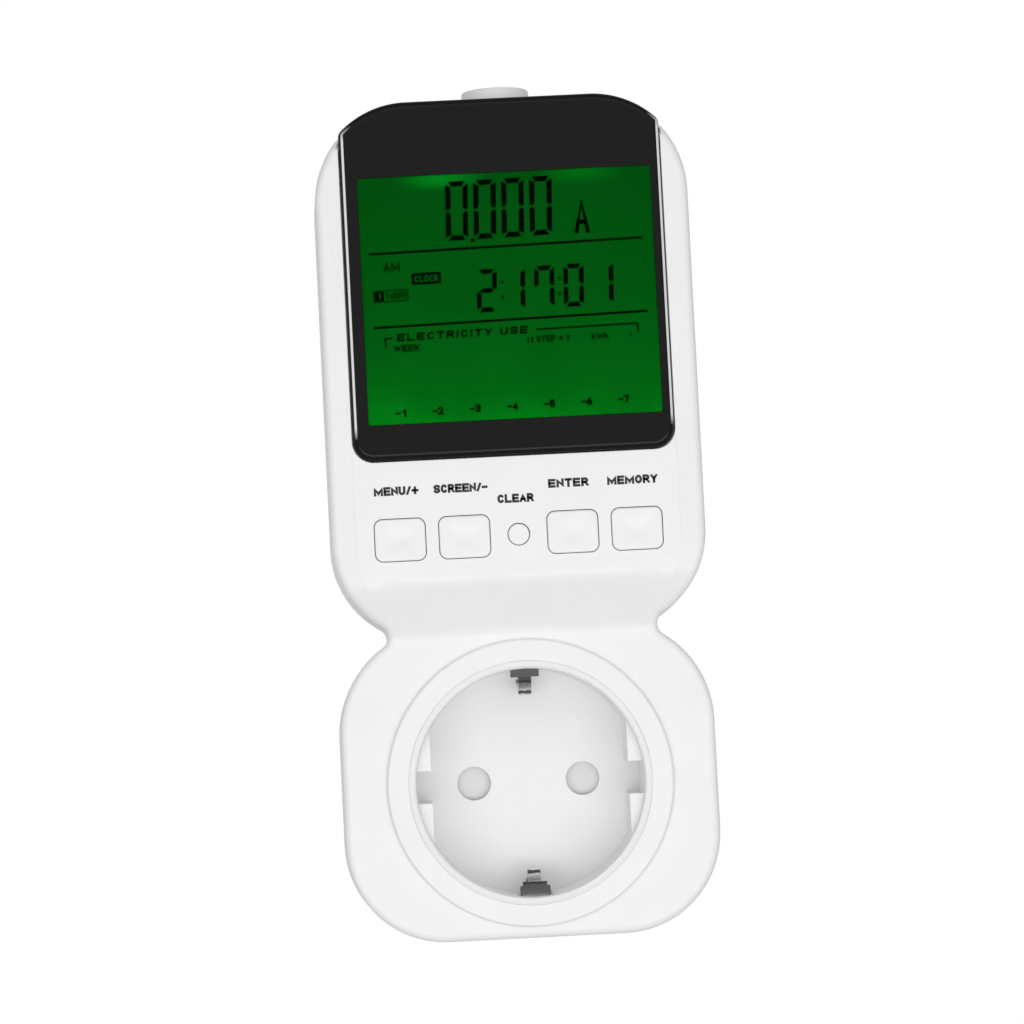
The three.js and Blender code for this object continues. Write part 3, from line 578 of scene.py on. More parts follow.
def inside_odd(centres, loops):
    """Whether each (x, z) centre lies inside an odd number of the loops."""
    crossings = np.zeros(len(centres), int)
    for loop in loops:
        ends = np.array([(x, z) for x, _, z in loop])
        for (x0, z0), (x1, z1) in zip(ends, np.roll(ends, -1, axis=0)):
            if z0 == z1:
                continue
            spans = (centres[:, 1] < z0) != (centres[:, 1] < z1)
            crossing_x = x0 + (centres[:, 1] - z0) * (x1 - x0) / (z1 - z0)
            crossings += spans & (centres[:, 0] < crossing_x)
    return crossings % 2 == 1


def spread(start, end, steps):
    return [start + (end - start) * i / steps for i in range(steps + 1)]


def arc(centre, radius, start_deg, end_deg, steps):
    return [
        (centre[0] + radius * math.cos(math.radians(a)), centre[1] + radius * math.sin(math.radians(a)))
        for a in spread(start_deg, end_deg, steps)
    ]


def circle(radius, y, x=0.0, z=0.0, steps=64):
    return [(px, y, pz) for px, pz in arc((x, z), radius, 0, 360, steps)[:-1]]


def rounded_rectangle(width, height, corner, x=0.0, z=0.0, steps=6):
    right, left = x + width / 2 - corner, x - width / 2 + corner
    top, bottom = z + height / 2 - corner, z - height / 2 + corner
    return (
        arc((right, top), corner, 0, 90, steps) + arc((left, top), corner, 90, 180, steps)
        + arc((left, bottom), corner, 180, 270, steps) + arc((right, bottom), corner, 270, 360, steps)
    )


def at_depth(outline, y):
    return [(x, y, z) for x, z in outline]


def rounding(radius, steps=5):
    """(inset, depth) pairs round a quarter circle, from a side wall to the face it meets."""
    return [
        (radius * (1 - math.cos(math.radians(a))), radius * (1 - math.sin(math.radians(a))))
        for a in spread(0, 90, steps)
    ]


def clamp(t):
    return min(max(t, 0.0), 1.0)


def smooth(t):
    t = clamp(t)
    return t * t * (3 - 2 * t)


def eased_ramp(t, ease=0.15):
    """0 to 1 with a straight middle and rounded ends."""
    t = clamp(t)
    if t > 0.5:
        return 1 - eased_ramp(1 - t, ease)
    return (t * t / (2 * ease) if t < ease else t - ease / 2) / (1 - ease)


def four_quarters(quarter):
    """A closed outline from its top right quarter, which runs from the right to the top."""
    upper = quarter + [(-x, z) for x, z in reversed(quarter)]
    outline = upper + [(-x, -z) for x, z in upper]
    return [point for i, point in enumerate(outline) if math.dist(point, outline[i - 1]) > 1e-6]


# ------------------------------------------------------------------ casing


def notch_centre():
    """Centre of the hollow arc in the waist, which touches the shoulder and head arcs."""
    reach_a = HALF_WIDTH - SHOULDER[0] + NOTCH_RADIUS
    reach_b = HALF_WIDTH - HEAD_BOTTOM[0] + NOTCH_RADIUS
    dx, dz = HEAD_BOTTOM[0] - SHOULDER[0], HEAD_BOTTOM[1] - SHOULDER[1]
    distance = math.hypot(dx, dz)
    along = (reach_a ** 2 - reach_b ** 2 + distance ** 2) / (2 * distance)
    across = math.sqrt(reach_a ** 2 - along ** 2)
    return (SHOULDER[0] + (along * dx + across * dz) / distance,
            SHOULDER[1] + (along * dz - across * dx) / distance)


def casing_outline(inset):
    """(x, z) points of the outline at the seam; the same count of points for every inset."""
    notch = notch_centre()
    shoulder_end = math.degrees(math.atan2(notch[1] - SHOULDER[1], notch[0] - SHOULDER[0]))
    head_start = math.degrees(math.atan2(notch[1] - HEAD_BOTTOM[1], notch[0] - HEAD_BOTTOM[0]))

    def corner(centre, start_deg, end_deg, steps=20):
        return arc(centre, HALF_WIDTH - centre[0] - inset, start_deg, end_deg, steps)

    right = (
        corner(LOWER_CORNER, -90, 0) + corner(SHOULDER, 0, shoulder_end, 14)
        + arc(notch, NOTCH_RADIUS + inset, shoulder_end + 180, head_start + 180, 10)[1:-1]
        + corner(HEAD_BOTTOM, head_start, 0, 14) + corner(HEAD_TOP, 0, SEAT_TURN, 11)
        + corner(HEAD_TOP, SEAT_TURN, 90, 17)[1:]
    )
    return right + [(-x, z) for x, z in reversed(right)]


def drafted(x, z, y):
    """Walls lean inwards away from the seam."""
    lean = DRAFT * abs(y - PARTING)
    return x * (1 - lean / HALF_WIDTH), MIDDLE_Z + (z - MIDDLE_Z) * (1 - lean / HALF_LENGTH)


def wall_row(scale, inset, depth, height, inward):
    """A loop on the casing's wall, inset from the outline and behind the face, scaled by place."""
    row = []
    for (x0, z0), (x1, z1) in zip(casing_outline(0), casing_outline(1)):
        amount, fall = inset * scale(x0, z0), inward * depth * scale(x0, z0)
        x, z = x0 + (x1 - x0) * amount, z0 + (z1 - z0) * amount
        x, z = drafted(x, z, height(x, z) + fall)
        row.append((x, height(x, z) + fall, z))
    return row


def seam_row(inset, y):
    """A loop of the casing's outline at one depth."""
    row = []
    for x, z in casing_outline(inset):
        x, z = drafted(x, z, y)
        row.append((x, y, z))
    return row


def cover(height, inward, seam, edge, holes, lines=None, grid=()):
    """One half of the casing. A hole is a list of loops from the outer face to the inner one,
    and lines(rim) gives the lines that the outer face follows inside its rim."""
    shell = Shell()
    chamfer = 0.22
    rows = [seam_row(chamfer, seam), seam_row(0, seam - inward * chamfer)]
    rows += [wall_row(edge, inset, depth, height, inward) for inset, depth in rounding(1.0)]
    shell.strip(*rows)
    inner_top = wall_row(lambda x, z: 1.0, WALL, INNER_DEPTH, height, inward)
    inner_seam = seam_row(WALL, seam)
    shell.strip(rows[0], inner_seam, inner_top)
    for hole in holes:
        shell.strip(*hole)
    shell.fill([rows[-1], *(hole[0] for hole in holes)], height, lines(rows[-1]) if lines else (), grid)
    shell.fill([inner_top, *(hole[-1] for hole in holes)],
               lambda x, z: height(x, z) + inward * INNER_DEPTH, (), grid)
    return shell


def seat_distance(x, z):
    """How far outside the window's seat a place is; the seat is open at the top."""
    across = abs(x) - (SEAT_HALF - WINDOW_CORNER)
    below = SEAT_BOTTOM + WINDOW_CORNER - z
    if across > 0 and below > 0:
        return math.hypot(across, below) - WINDOW_CORNER
    return max(across, below) - WINDOW_CORNER


def crease_x(z):
    """Where the flat middle of the head ends and its side bands begin."""
    return SEAT_HALF - 2.9 * clamp((40 - z) / 7.5) ** 2


def front_height(x, z):
    rise = eased_ramp((z - SLOPE_FOOT_Z) / (SLOPE_TOP_Z - SLOPE_FOOT_Z))
    y = SOCKET_FACE + (HEAD_FACE - SOCKET_FACE) * rise
    beyond = abs(x) - crease_x(z)
    y += smooth((z - 31) / 8) * (BAND_STEP * clamp(beyond / 0.2) + BAND_FALL * clamp(beyond / 5))
    return y + (SEAT_FACE - y) * clamp(-seat_distance(x, z) / 0.05)


def front_edge(x, z):
    return EDGE_RADIUS - (EDGE_RADIUS - 0.25) * clamp(-seat_distance(x, z) / 1.5)


def seat_line(rim, inset):
    """The seat's outline, from one side of the casing's rim to the other."""
    half = SEAT_HALF - inset
    corner = WINDOW_CORNER - inset
    bottom = SEAT_BOTTOM + inset
    left = min((p for p in rim if p[0] < 0 and p[2] > 90), key=lambda p: abs(p[0] + SEAT_HALF))
    right = (-left[0], left[2])
    return (
        [(left[0], left[2]), (-half, left[2] - 2)]
        + arc((-half + corner, bottom + corner), corner, 180, 270, 8)
        + arc((half - corner, bottom + corner), corner, 270, 360, 8)
        + [(half, left[2] - 2), right]
    )


def front_lines(rim):
    """Lines that the face's triangles follow: the seat's edge, and the creases beside the middle."""
    lines = [seat_line(rim, 0), seat_line(rim, 0.05)]
    for side in (-1, 1):
        for beyond in (0, 0.2):
            lines.append([(side * (crease_x(z) + beyond), z) for z in spread(31, 58, 24)])
        lines.append([(side * (SEAT_HALF + 0.2), z) for z in spread(59, 108.5, 30)])
    return lines


def face_hole(outline, y, depth=INNER_DEPTH, edge=0.12):
    """A hole with a rounded edge through a flat part of the face; outline(extra) grows it."""
    loops = [at_depth(outline(edge - inset), y + d) for inset, d in reversed(rounding(edge, 3))]
    return loops + [at_depth(outline(0), y + depth)]


def key_outline(node, extra):
    """A function that gives the key's outline, extra larger all round than the cap, and grown."""
    low, high = corners(node)
    centre = middle(node)
    width, height = high.x - low.x - 2 * KEY_FLANGE, high.z - low.z - 2 * KEY_FLANGE
    return lambda grow: rounded_rectangle(
        width + 2 * (extra + grow), height + 2 * (extra + grow), KEY_CORNER + extra + grow,
        centre.x, centre.z)


def outlet_ring():
    """Loops from the foot of the raised ring, over it, and down its bore."""
    foot, top, bore = 0.3, 0.4, 0.08
    loops = [circle(RING_RADIUS + foot - foot * math.sin(math.radians(a)),
                    SOCKET_FACE - foot + foot * math.cos(math.radians(a)), steps=144)
             for a in spread(0, 75, 4)]
    for inset, depth in rounding(top):
        loops.append(circle(RING_RADIUS - 0.05 - inset, RIM + depth, steps=144))
    for inset, depth in reversed(rounding(bore, 3)):
        loops.append(circle(BORE_RADIUS + bore - inset, RIM + depth, steps=144))
    return loops + [circle(BORE_RADIUS, SOCKET_FACE + INNER_DEPTH, steps=144)]


def front_cover():
    """The front half, with its holes, the slope up to the head and the window's seat."""
    reset = middle("reset_key")
    holes = [outlet_ring()]
    holes += [face_hole(key_outline(node, KEY_SLOT), HEAD_FACE) for node in KEYS]
    holes.append(face_hole(
        lambda grow: arc((reset.x, reset.z), RESET_RADIUS + KEY_SLOT + grow, 0, 360, 32)[:-1], HEAD_FACE))
    holes.append([at_depth(rounded_rectangle(VIEW_WIDTH + 1.2, VIEW_HEIGHT + 1.2, 0.5, VIEW_X, VIEW_Z), y)
                  for y in (SEAT_FACE, HEAD_FACE + 2.5, SEAT_FACE + INNER_DEPTH)])
    # Points over the slope, so that its curve is followed by small triangles.
    grid = [(x, z) for x in spread(-21, 21, 28) for z in spread(SLOPE_FOOT_Z - 0.5, SLOPE_TOP_Z + 0.5, 16)
            if math.hypot(x, z) > RING_RADIUS + 1.2 and (abs(x) < 19 or z > 33)]
    shell = cover(front_height, 1, FRONT_SEAM, front_edge, holes, front_lines, grid)
    piece = shell.piece("front_cover_shell", "housing", "casing_white", ["front_cover"])
    bore_top_button(piece)


def bore_top_button(piece):
    """Cuts the hole that the top button slides in."""
    button = middle("top_button")
    foot, top = 112, 125  # inside the head, and clear of its top edge
    rings = [[(x, button.y + y, z) for x, y in arc((0, 0), BUTTON_RADIUS + GAP, 0, 360, 64)[:-1]]
             for z in (foot, top)]
    cutter = Shell()
    cutter.closed(rings)
    tool = put("button_bore", cutter.welded("button_bore"))
    piece.modifiers.clear()
    cut = piece.modifiers.new("bore", "BOOLEAN")
    cut.operation = "DIFFERENCE"
    cut.solver = "EXACT"
    cut.object = tool
    bpy.context.view_layer.update()
    made = bpy.data.meshes.new_from_object(piece.evaluated_get(bpy.context.evaluated_depsgraph_get()))
    piece.modifiers.clear()
    piece.data = made
    bpy.data.objects.remove(tool)
    made.set_sharp_from_angle(angle=math.radians(SHARP_DEG))
    piece.modifiers.new("even_shading", "WEIGHTED_NORMAL").keep_sharp = True


def rear_cover():
    """The back half, with its screw ways and the opening that the plug's body comes through."""
    inner = BACK - INNER_DEPTH
    head_seat = BACK - 8
    holes = []
    for i in range(1, 5):
        screw = middle(f"cover_screw_{i}")
        profile = [(3.15, BACK), (2.97, BACK - 0.07), (2.9, BACK - 0.25), (2.9, head_seat), (1.6, head_seat),
                   (1.6, REAR_SEAM), (4.1, REAR_SEAM), (4.1, inner)]
        holes.append([circle(radius, y, screw.x, screw.z, 48) for radius, y in profile])
    opening = PLUG_RADIUS + GAP
    holes.append([circle(radius, y, steps=128) for radius, y in (
        (opening + 0.25, BACK), (opening + 0.07, BACK - 0.07), (opening, BACK - 0.25), (opening, inner))])
    shell = cover(lambda x, z: BACK, -1, REAR_SEAM, lambda x, z: EDGE_RADIUS, holes)
    shell.piece("rear_cover_shell", "housing", "casing_white", ["rear_cover"])


# ------------------------------------------------------------------ window and display


def window_outline(inset):
    """Rounded at the foot; at the top, arcs that follow the casing, eased into the sides."""
    side, bottom, ease = window_high.x, window_low.z, 1.6
    ease_x = side - ease
    ease_z = HEAD_TOP[1] + math.sqrt((WINDOW_ARC - ease) ** 2 - (ease_x - HEAD_TOP[0]) ** 2)
    turn = math.degrees(math.atan2(ease_z - HEAD_TOP[1], ease_x - HEAD_TOP[0]))
    foot_x, foot_z, corner = side - WINDOW_CORNER, bottom + WINDOW_CORNER, WINDOW_CORNER - inset
    right = (
        arc((foot_x, foot_z), corner, 270, 360, 12) + arc((ease_x, ease_z), ease - inset, 0, turn, 6)
        + arc(HEAD_TOP, WINDOW_ARC - inset, turn, 90, 20)[1:]
    )
    return right + [(-x, z) for x, z in reversed(right)]


def display_window():
    """Black panel with a rolled edge, round the clear area."""
    front, back = window_low.y, window_high.y
    roll = 1.15
    rows = [at_depth(window_outline(0), back)]
    rows += [at_depth(window_outline(inset), front + depth) for inset, depth in rounding(roll, 7)]
    rows.append(at_depth(window_outline(roll + 0.3), front))
    view = [at_depth(rounded_rectangle(VIEW_WIDTH + grow, VIEW_HEIGHT + grow, 0.4, VIEW_X, VIEW_Z), y)
            for grow, y in ((0.16, front), (0, front + 0.12), (0, back))]
    shell = Shell()
    shell.strip(*rows)
    shell.strip(*view)
    shell.plain_fill(rows[-1], view[0])
    shell.plain_fill(rows[0], view[-1])
    shell.piece("display_window_frame", "housing", "window_black", ["display_window"])


def window_pane():
    """The clear middle of the same window."""
    slack = 0.04
    loops = [at_depth(rounded_rectangle(VIEW_WIDTH - slack, VIEW_HEIGHT - slack, 0.38, VIEW_X, VIEW_Z), y)
         for y in (window_low.y + 0.14, window_high.y)]
    shell = Shell()
    shell.strip(*loops)
    shell.plain_fill(loops[0])
    shell.plain_fill(loops[1])
    shell.piece("display_window_pane", "housing", "display_green", material=CLEAR_PANE)


def on_display(u, v):
    """(x, z) of a place on the display, from its middle, u right and v up."""
    lean = math.radians(LEAN_DEG)
    return (VIEW_X + u * math.cos(lean) - v * math.sin(lean),
            VIEW_Z + u * math.sin(lean) + v * math.cos(lean))


def printed(shell, outline):
    """A thin printed shape on the display's glass, from a (u, v) outline."""
    back = [(x, glass_low.y, z) for x, z in (on_display(*point) for point in outline)]
    front = [(x, y - INK, z) for x, y, z in back]
    shell.face(back)
    shell.face(front)
    shell.strip(back, front)


def bar(shell, u0, v0, u1, v1, thickness):
    """A straight printed bar between two places on the display."""
    along = Vector((u1 - u0, v1 - v0)).normalized() * thickness / 2
    across = Vector((-along.y, along.x))
    a, b = Vector((u0, v0)), Vector((u1, v1))
    printed(shell, [a - across, b - across, b + across, a + across])


def segment_outlines(width, height, stroke, gap):
    """The seven strokes of a digit, each by its letter."""
    right, top, cut = width / 2, height / 2, stroke * 0.4
    above = [(-right + cut + gap, top), (right - cut - gap, top),
             (right - stroke - gap, top - stroke), (-right + stroke + gap, top - stroke)]
    side = [(right, top - cut - gap), (right, gap + stroke * 0.25), (right - stroke * 0.45, gap),
            (right - stroke, gap + stroke * 0.45), (right - stroke, top - stroke - gap)]
    half = stroke / 2
    across = [(-right + half + gap, 0), (-right + stroke + gap, half), (right - stroke - gap, half),
              (right - half - gap, 0), (right - stroke - gap, -half), (-right + stroke + gap, -half)]

    def flip(outline, x=1, z=1):
        return [(u * x, v * z) for u, v in outline]

    return {"a": above, "b": side, "c": flip(side, z=-1), "d": flip(above, z=-1), "e": flip(side, -1, -1),
            "f": flip(side, x=-1), "g": across}


def digit(shell, character, u, v, width, height, stroke):
    """A seven-segment digit about its middle, leaning a little."""
    outlines = segment_outlines(width, height, stroke, 0.09)
    for letter in SEGMENTS[character]:
        printed(shell, [(u + du + ITALIC * dv, v + dv) for du, dv in outlines[letter]])


def oval(start, end, left=0.0, right=1.0, low=0.0, high=1.0, steps=8):
    """Part of an ellipse that fits a box, between two angles."""
    return [((left + right) / 2 + (right - left) / 2 * math.cos(math.radians(a)),
             (low + high) / 2 + (high - low) / 2 * math.sin(math.radians(a)))
            for a in spread(start, end, steps)]


# Each letter's strokes, in a box one unit wide and one unit high.
LETTERS = {
    "A": [[(0, 0), (0.5, 1), (1, 0)], [(0.2, 0.3), (0.8, 0.3)]],
    "C": [oval(45, 315)],
    "E": [[(1, 1), (0, 1), (0, 0), (1, 0)], [(0, 0.5), (0.92, 0.5)]],
    "F": [[(1, 1), (0, 1), (0, 0)], [(0, 0.5), (0.85, 0.5)]],
    "I": [[(0.5, 1), (0.5, 0)]],
    "K": [[(0, 0), (0, 1)], [(0.95, 1), (0.1, 0.42)], [(0.35, 0.6), (1, 0)]],
    "L": [[(0, 1), (0, 0), (1, 0)]],
    "M": [[(0, 0), (0, 1), (0.5, 0.15), (1, 1), (1, 0)]],
    "N": [[(0, 0), (0, 1), (1, 0), (1, 1)]],
    "O": [oval(0, 360, steps=14)],
    "P": [[(0, 0), (0, 1)] + oval(90, -90, 0.2, 1, 0.45, 1) + [(0, 0.45)]],
    "R": [[(0, 0), (0, 1)] + oval(90, -90, 0.2, 0.95, 0.47, 1) + [(0, 0.47)], [(0.5, 0.47), (1, 0)]],
    "S": [oval(25, 270, low=0.5) + oval(90, -155, high=0.5)[1:]],
    "T": [[(0, 1), (1, 1)], [(0.5, 1), (0.5, 0)]],
    "U": [[(0, 1)] + oval(180, 360, high=0.7) + [(1, 1)]],
    "W": [[(0, 1), (0.26, 0), (0.5, 0.85), (0.74, 0), (1, 1)]],
    "Y": [[(0, 1), (0.5, 0.48), (1, 1)], [(0.5, 0.5), (0.5, 0)]],
    "k": [[(0, 0), (0, 1)], [(0.85, 0.68), (0.05, 0.28)], [(0.4, 0.42), (1, 0)]],
    "h": [[(0, 0), (0, 1)], [(0, 0.42), (0.3, 0.66), (0.75, 0.64), (1, 0.42), (1, 0)]],
    "1": [[(0.1, 0.75), (0.9, 1), (0.9, 0)]],
    "2": [oval(160, -25, low=0.42) + [(0, 0), (1, 0)]],
    "3": [oval(150, -90, low=0.52) + oval(90, -150, high=0.52)[1:]],
    "4": [[(0.75, 0), (0.75, 1), (0, 0.28), (1, 0.28)]],
    "5": [[(0.95, 1), (0.15, 1), (0.08, 0.52)] + oval(110, -145, high=0.64)],
    "6": [oval(0, 360, high=0.62, steps=12), [(0.03, 0.35), (0.25, 0.8), (0.75, 1)]],
    "7": [[(0, 1), (1, 1), (0.4, 0)]],
    "/": [[(0, 0), (1, 1)]],
    "+": [[(0, 0.48), (1, 0.48)], [(0.5, 0.9), (0.5, 0.06)]],
    "-": [[(0, 0.48), (1, 0.48)]],
    "=": [[(0, 0.3), (1, 0.3)], [(0, 0.68), (1, 0.68)]],
    "(": [oval(130, 230, 0, 1.8)],
    ")": [oval(50, -50, -0.8, 1)],
    " ": [],
}
LETTER_WIDTHS = {"I": 0.02, "M": 0.95, "W": 1.15, "/": 0.35, "-": 0.5, "1": 0.35,
                 "(": 0.2, ")": 0.2, " ": 0.2}
USUAL_WIDTH = 0.64
LETTER_SPACE = 0.42


def word_strokes(text):
    """A word's strokes and its length, in units of its letter height."""
    strokes, start = [], 0.0
    for character in text:
        width = LETTER_WIDTHS.get(character, USUAL_WIDTH)
        strokes += [[(start + a * width, b) for a, b in stroke] for stroke in LETTERS[character]]
        start += width + LETTER_SPACE
    return strokes, start - LETTER_SPACE


def write(shell, text, where, width, height, stroke, y, slant=0.0):
    """A word of solid strokes about its middle; where(u, v) gives the (x, z) of a place in it."""
    strokes, length = word_strokes(text)
    for line in strokes:
        placed = []
        for a, b in line:
            v = (b - 0.5) * (height - stroke)
            placed.append(((a / max(length, 0.1) - 0.5) * (width - stroke) + slant * v, v))
        ribbon(shell, placed, stroke, height / 2, where, y)


def ribbon(shell, line, stroke, reach, where, y):
    """One stroke: a flat bar along a line, mitred at its corners and cut level at reach."""
    closed = math.dist(line[0], line[-1]) < 1e-6
    points = [Vector(point) for point in line]
    if not closed:
        points[0] = points[0] + (points[0] - points[1]).normalized() * stroke / 2
        points[-1] = points[-1] + (points[-1] - points[-2]).normalized() * stroke / 2
    loops = []
    for i, here in enumerate(points):
        before = points[i - 1] if i else (points[-2] if closed else None)
        after = points[i + 1] if i + 1 < len(points) else (points[1] if closed else None)
        arriving = (here - before).normalized() if before else (after - here).normalized()
        leaving = (after - here).normalized() if after else arriving
        along = (arriving + leaving).normalized()
        across = Vector((-along.y, along.x)) * stroke / 2 / max(along.dot(arriving), 0.35)
        pair = [(u, min(max(v, -reach), reach)) for u, v in (here + across, here - across)]
        (x0, z0), (x1, z1) = (where(u, v) for u, v in pair)
        loops.append([(x0, y, z0), (x1, y, z1), (x1, y - INK, z1), (x0, y - INK, z0)])
    shell.strip(*loops)
    if not closed:
        shell.face(loops[0])
        shell.face(loops[-1])


def display_word(shell, text, u, v, width, height, stroke, slant=0.0, lift=0.0):
    write(shell, text, lambda a, b: on_display(u + a, v + b), width, height, stroke,
          glass_low.y - lift, slant)


def display_marks():
    """Everything that the display shows."""
    shell = Shell()
    for u in spread(-8.0, 6.4, 3):
        digit(shell, "0", u, 15.35, 3.9, 10.2, 0.95)
    bar(shell, DOT_U - 0.32, 10.15, DOT_U + 0.32, 10.15, 0.64)
    for v in (8.8, -3.87):
        bar(shell, -23.5, v, 23.5, v, 0.42)
    for character, u in (("2", -3.75), ("1", 1.1), ("7", 6.1), ("0", 11.15), ("1", 16.25)):
        digit(shell, character, u, 1.35, 3.5, 7.4, 0.85)
    for u in (-1.15, 8.65):
        for v in (0.0, 2.7):
            bar(shell, u - 0.24 + ITALIC * v, v, u + 0.24 + ITALIC * v, v, 0.48)
    bracket = [(-21.75, -5.8, -20.4, -5.8), (-21.6, -5.8, -21.6, -7.4),
               (4.2, -5.85, 21.75, -5.85), (21.62, -5.8, 21.62, -7.4)]
    for ends in bracket:
        bar(shell, *ends, 0.3)
    words = [  # text, middle, width and height, stroke, slant
        ("A", 13.3, 13.2, 2.7, 6.1, 0.8, 0.03), ("AM", -19.75, 6.5, 2.8, 1.75, 0.3, 0),
        ("ELECTRICITY USE", -8.4, -5.75, 22.4, 1.35, 0.34, 0.1),
        ("WEEK", -18.1, -7.65, 4.5, 1.2, 0.29, 0.1), ("(1 STEP = 1", 6.2, -7.55, 7.2, 1.2, 0.25, 0),
        ("kWh", 15.0, -7.65, 2.9, 1.2, 0.25, 0), (")", 20.3, -7.65, 0.4, 1.2, 0.2, 0),
    ]
    for word in words:
        display_word(shell, *word)
    for i in range(7):
        display_word(shell, f"-{i + 1}", -19.75 + 6.36 * i, -18.7, 1.9, 1.4, 0.36)
    shell.piece("display_marks", "housing", "display_green", material=DISPLAY_INK)


def display_badges():
    """Two small boxed words, one of them reversed out of a filled box."""
    shell = Shell()
    printed(shell, rounded_rectangle(5.1, 2.05, 0.3, -13.95, 4.1, 3))
    outer = rounded_rectangle(6.0, 2.05, 0.3, -20.2, 1.45, 3)
    inner = rounded_rectangle(5.6, 1.65, 0.15, -20.2, 1.45, 3)
    loops = [[(x, y, z) for x, z in (on_display(*p) for p in outline)]
             for outline, y in ((outer, glass_low.y), (outer, glass_low.y - INK),
                                (inner, glass_low.y - INK), (inner, glass_low.y))]
    shell.strip(*loops, loops[0])
    printed(shell, [(-22.95, 0.65), (-21.35, 0.65), (-21.35, 2.25), (-22.95, 2.25)])
    display_word(shell, "TARIFF", -19.25, 1.45, 3.7, 1.15, 0.21)
    shell.piece("display_badges", "housing", "display_green", material=DISPLAY_INK)
    words = Shell()
    display_word(words, "CLOCK", -13.95, 4.1, 4.1, 1.2, 0.2, lift=INK + 0.01)
    display_word(words, "1", -22.15, 1.45, 0.5, 1.1, 0.2, lift=INK + 0.01)
    words.piece("display_badge_letters", "housing", "display_green")


# ------------------------------------------------------------------ keys and legends


def key(node):
    """A square key: flange, side, rolled edge, and a shallow dish for the finger."""
    centre, (low, _) = middle(node), corners(node)
    outline = key_outline(node, CAP_GROWTH)
    face = low.y
    flange = at_depth(outline(KEY_FLANGE - CAP_GROWTH), KEY_BACK + FLANGE_THICKNESS)
    rows = [flange, at_depth(outline(KEY_FLANGE - CAP_GROWTH), KEY_BACK), at_depth(outline(0), KEY_BACK)]
    roll = 0.34
    rows += [at_depth(outline(-inset), face + depth) for inset, depth in rounding(roll, 4)]
    rim = outline(-roll)
    for scale in spread(0.95, 0.05, 18):
        loop = [(centre.x + (x - centre.x) * scale, centre.z + (z - centre.z) * scale) for x, z in rim]
        rows.append([(x, face + dish(x - centre.x, z - centre.z), z) for x, z in loop])
    shell = Shell()
    shell.strip(*rows)
    shell.face(rows[-1])
    shell.plain_fill(flange)
    shell.piece(f"{node}_cap", node, "key_white", [node])


def dish(x, z):
    """How far the finger's hollow sinks below the key's face."""
    return 0.4 * math.exp(-((x / 1.9) ** 2 + (z / 1.5) ** 2))


def reset_key():
    """The small round key: flange, side, rolled edge and a faint dish."""
    node = "reset_key"
    centre, (low, _) = middle(node), corners(node)
    cap, flange = RESET_RADIUS + CAP_GROWTH, 2.8
    profile = [(flange, KEY_BACK + FLANGE_THICKNESS), (flange, KEY_BACK), (cap, KEY_BACK)]
    profile += [(cap - inset, low.y + depth) for inset, depth in rounding(0.25, 4)]
    dish_radius, dish_depth = 1.35, 0.06
    profile += [(radius, low.y + dish_depth * (1 - (radius / dish_radius) ** 2))
                for radius in (1.0, 0.6, 0.25)]
    loops = [circle(radius, y, centre.x, centre.z, 48) for radius, y in profile]
    shell = Shell()
    shell.closed(loops)
    shell.piece("reset_key_cap", node, "key_white", [node])


def top_button():
    """The round button on the head's top edge: flange, side, rolled edge and a faint dish."""
    node = "top_button"
    centre, (_, high) = middle(node), corners(node)
    radius, flange, top = BUTTON_RADIUS, high.x, high.z
    flange_top, dish_radius, dish_depth = top - 5.9, 5.3, 0.12
    profile = [(flange, top - 6.8), (flange, flange_top), (radius, flange_top)]
    profile += [(radius - inset, top - depth) for inset, depth in rounding(0.45, 5)]
    profile += [(r, top - dish_depth * (1 - (r / dish_radius) ** 2)) for r in (4.4, 3.2, 1.8, 0.7)]
    loops = [[(x, centre.y + y, z) for x, y in arc((centre.x, 0), r, 0, 360, 96)[:-1]] for r, z in profile]
    shell = Shell()
    shell.closed(loops)
    shell.piece("top_button_cap", node, "key_white", [node])


def legends():
    """Generic names over the keys."""
    cap_height = 1.5
    row_z, reset_z = middle("value_key").z + 8.35, middle("reset_key").z + 6.15
    words = [("MENU/+", -20.45, row_z, 7.6), ("SCREEN/-", -9.5, row_z, 9.2),
             ("CLEAR", -0.25, reset_z, 6.2), ("ENTER", 8.85, row_z, 6.9), ("MEMORY", 19.75, row_z, 8.6)]
    shell = Shell()
    for text, x, z, width in words:
        write(shell, text, lambda u, v, x=x, z=z: (x + u, z + v), width, cap_height, 0.42, HEAD_FACE)
    shell.piece("key_legends", "housing", "window_black", material=LABEL_INK)


# ------------------------------------------------------------------ outlet


def recess_outline(slot_floor=CLIP_SLOT_FLOOR):
    """The recess's section below its lip: a circle with four guide blocks and two clip slots."""
    block_low, block_face, slot_half = 2.8, 16.9, 3.0
    enter = math.degrees(math.asin(block_low / RECESS_RADIUS))
    leave = math.degrees(math.acos(block_face / RECESS_RADIUS))
    slot = math.degrees(math.acos(slot_half / RECESS_RADIUS))
    quarter = (
        arc((0, 0), RECESS_RADIUS, 0, enter, 4) + [(block_face, block_low)]
        + arc((0, 0), RECESS_RADIUS, leave, slot, 18) + [(slot_half, slot_floor)]
    )
    return four_quarters(quarter)


def lip_circle(y):
    """The recess's round mouth, with a point wherever the section below has one on the circle."""
    angles = {round(math.degrees(math.atan2(z, x)) % 360, 6) for x, z in recess_outline()
              if abs(math.hypot(x, z) - RECESS_RADIUS) < 1e-6}
    angles |= {float(a) for a in range(0, 360, 5)
               if all(abs((a - b + 180) % 360 - 180) > 1.5 for b in angles)}
    return [(RECESS_RADIUS * math.cos(math.radians(a)), y, RECESS_RADIUS * math.sin(math.radians(a)))
            for a in sorted(angles)]


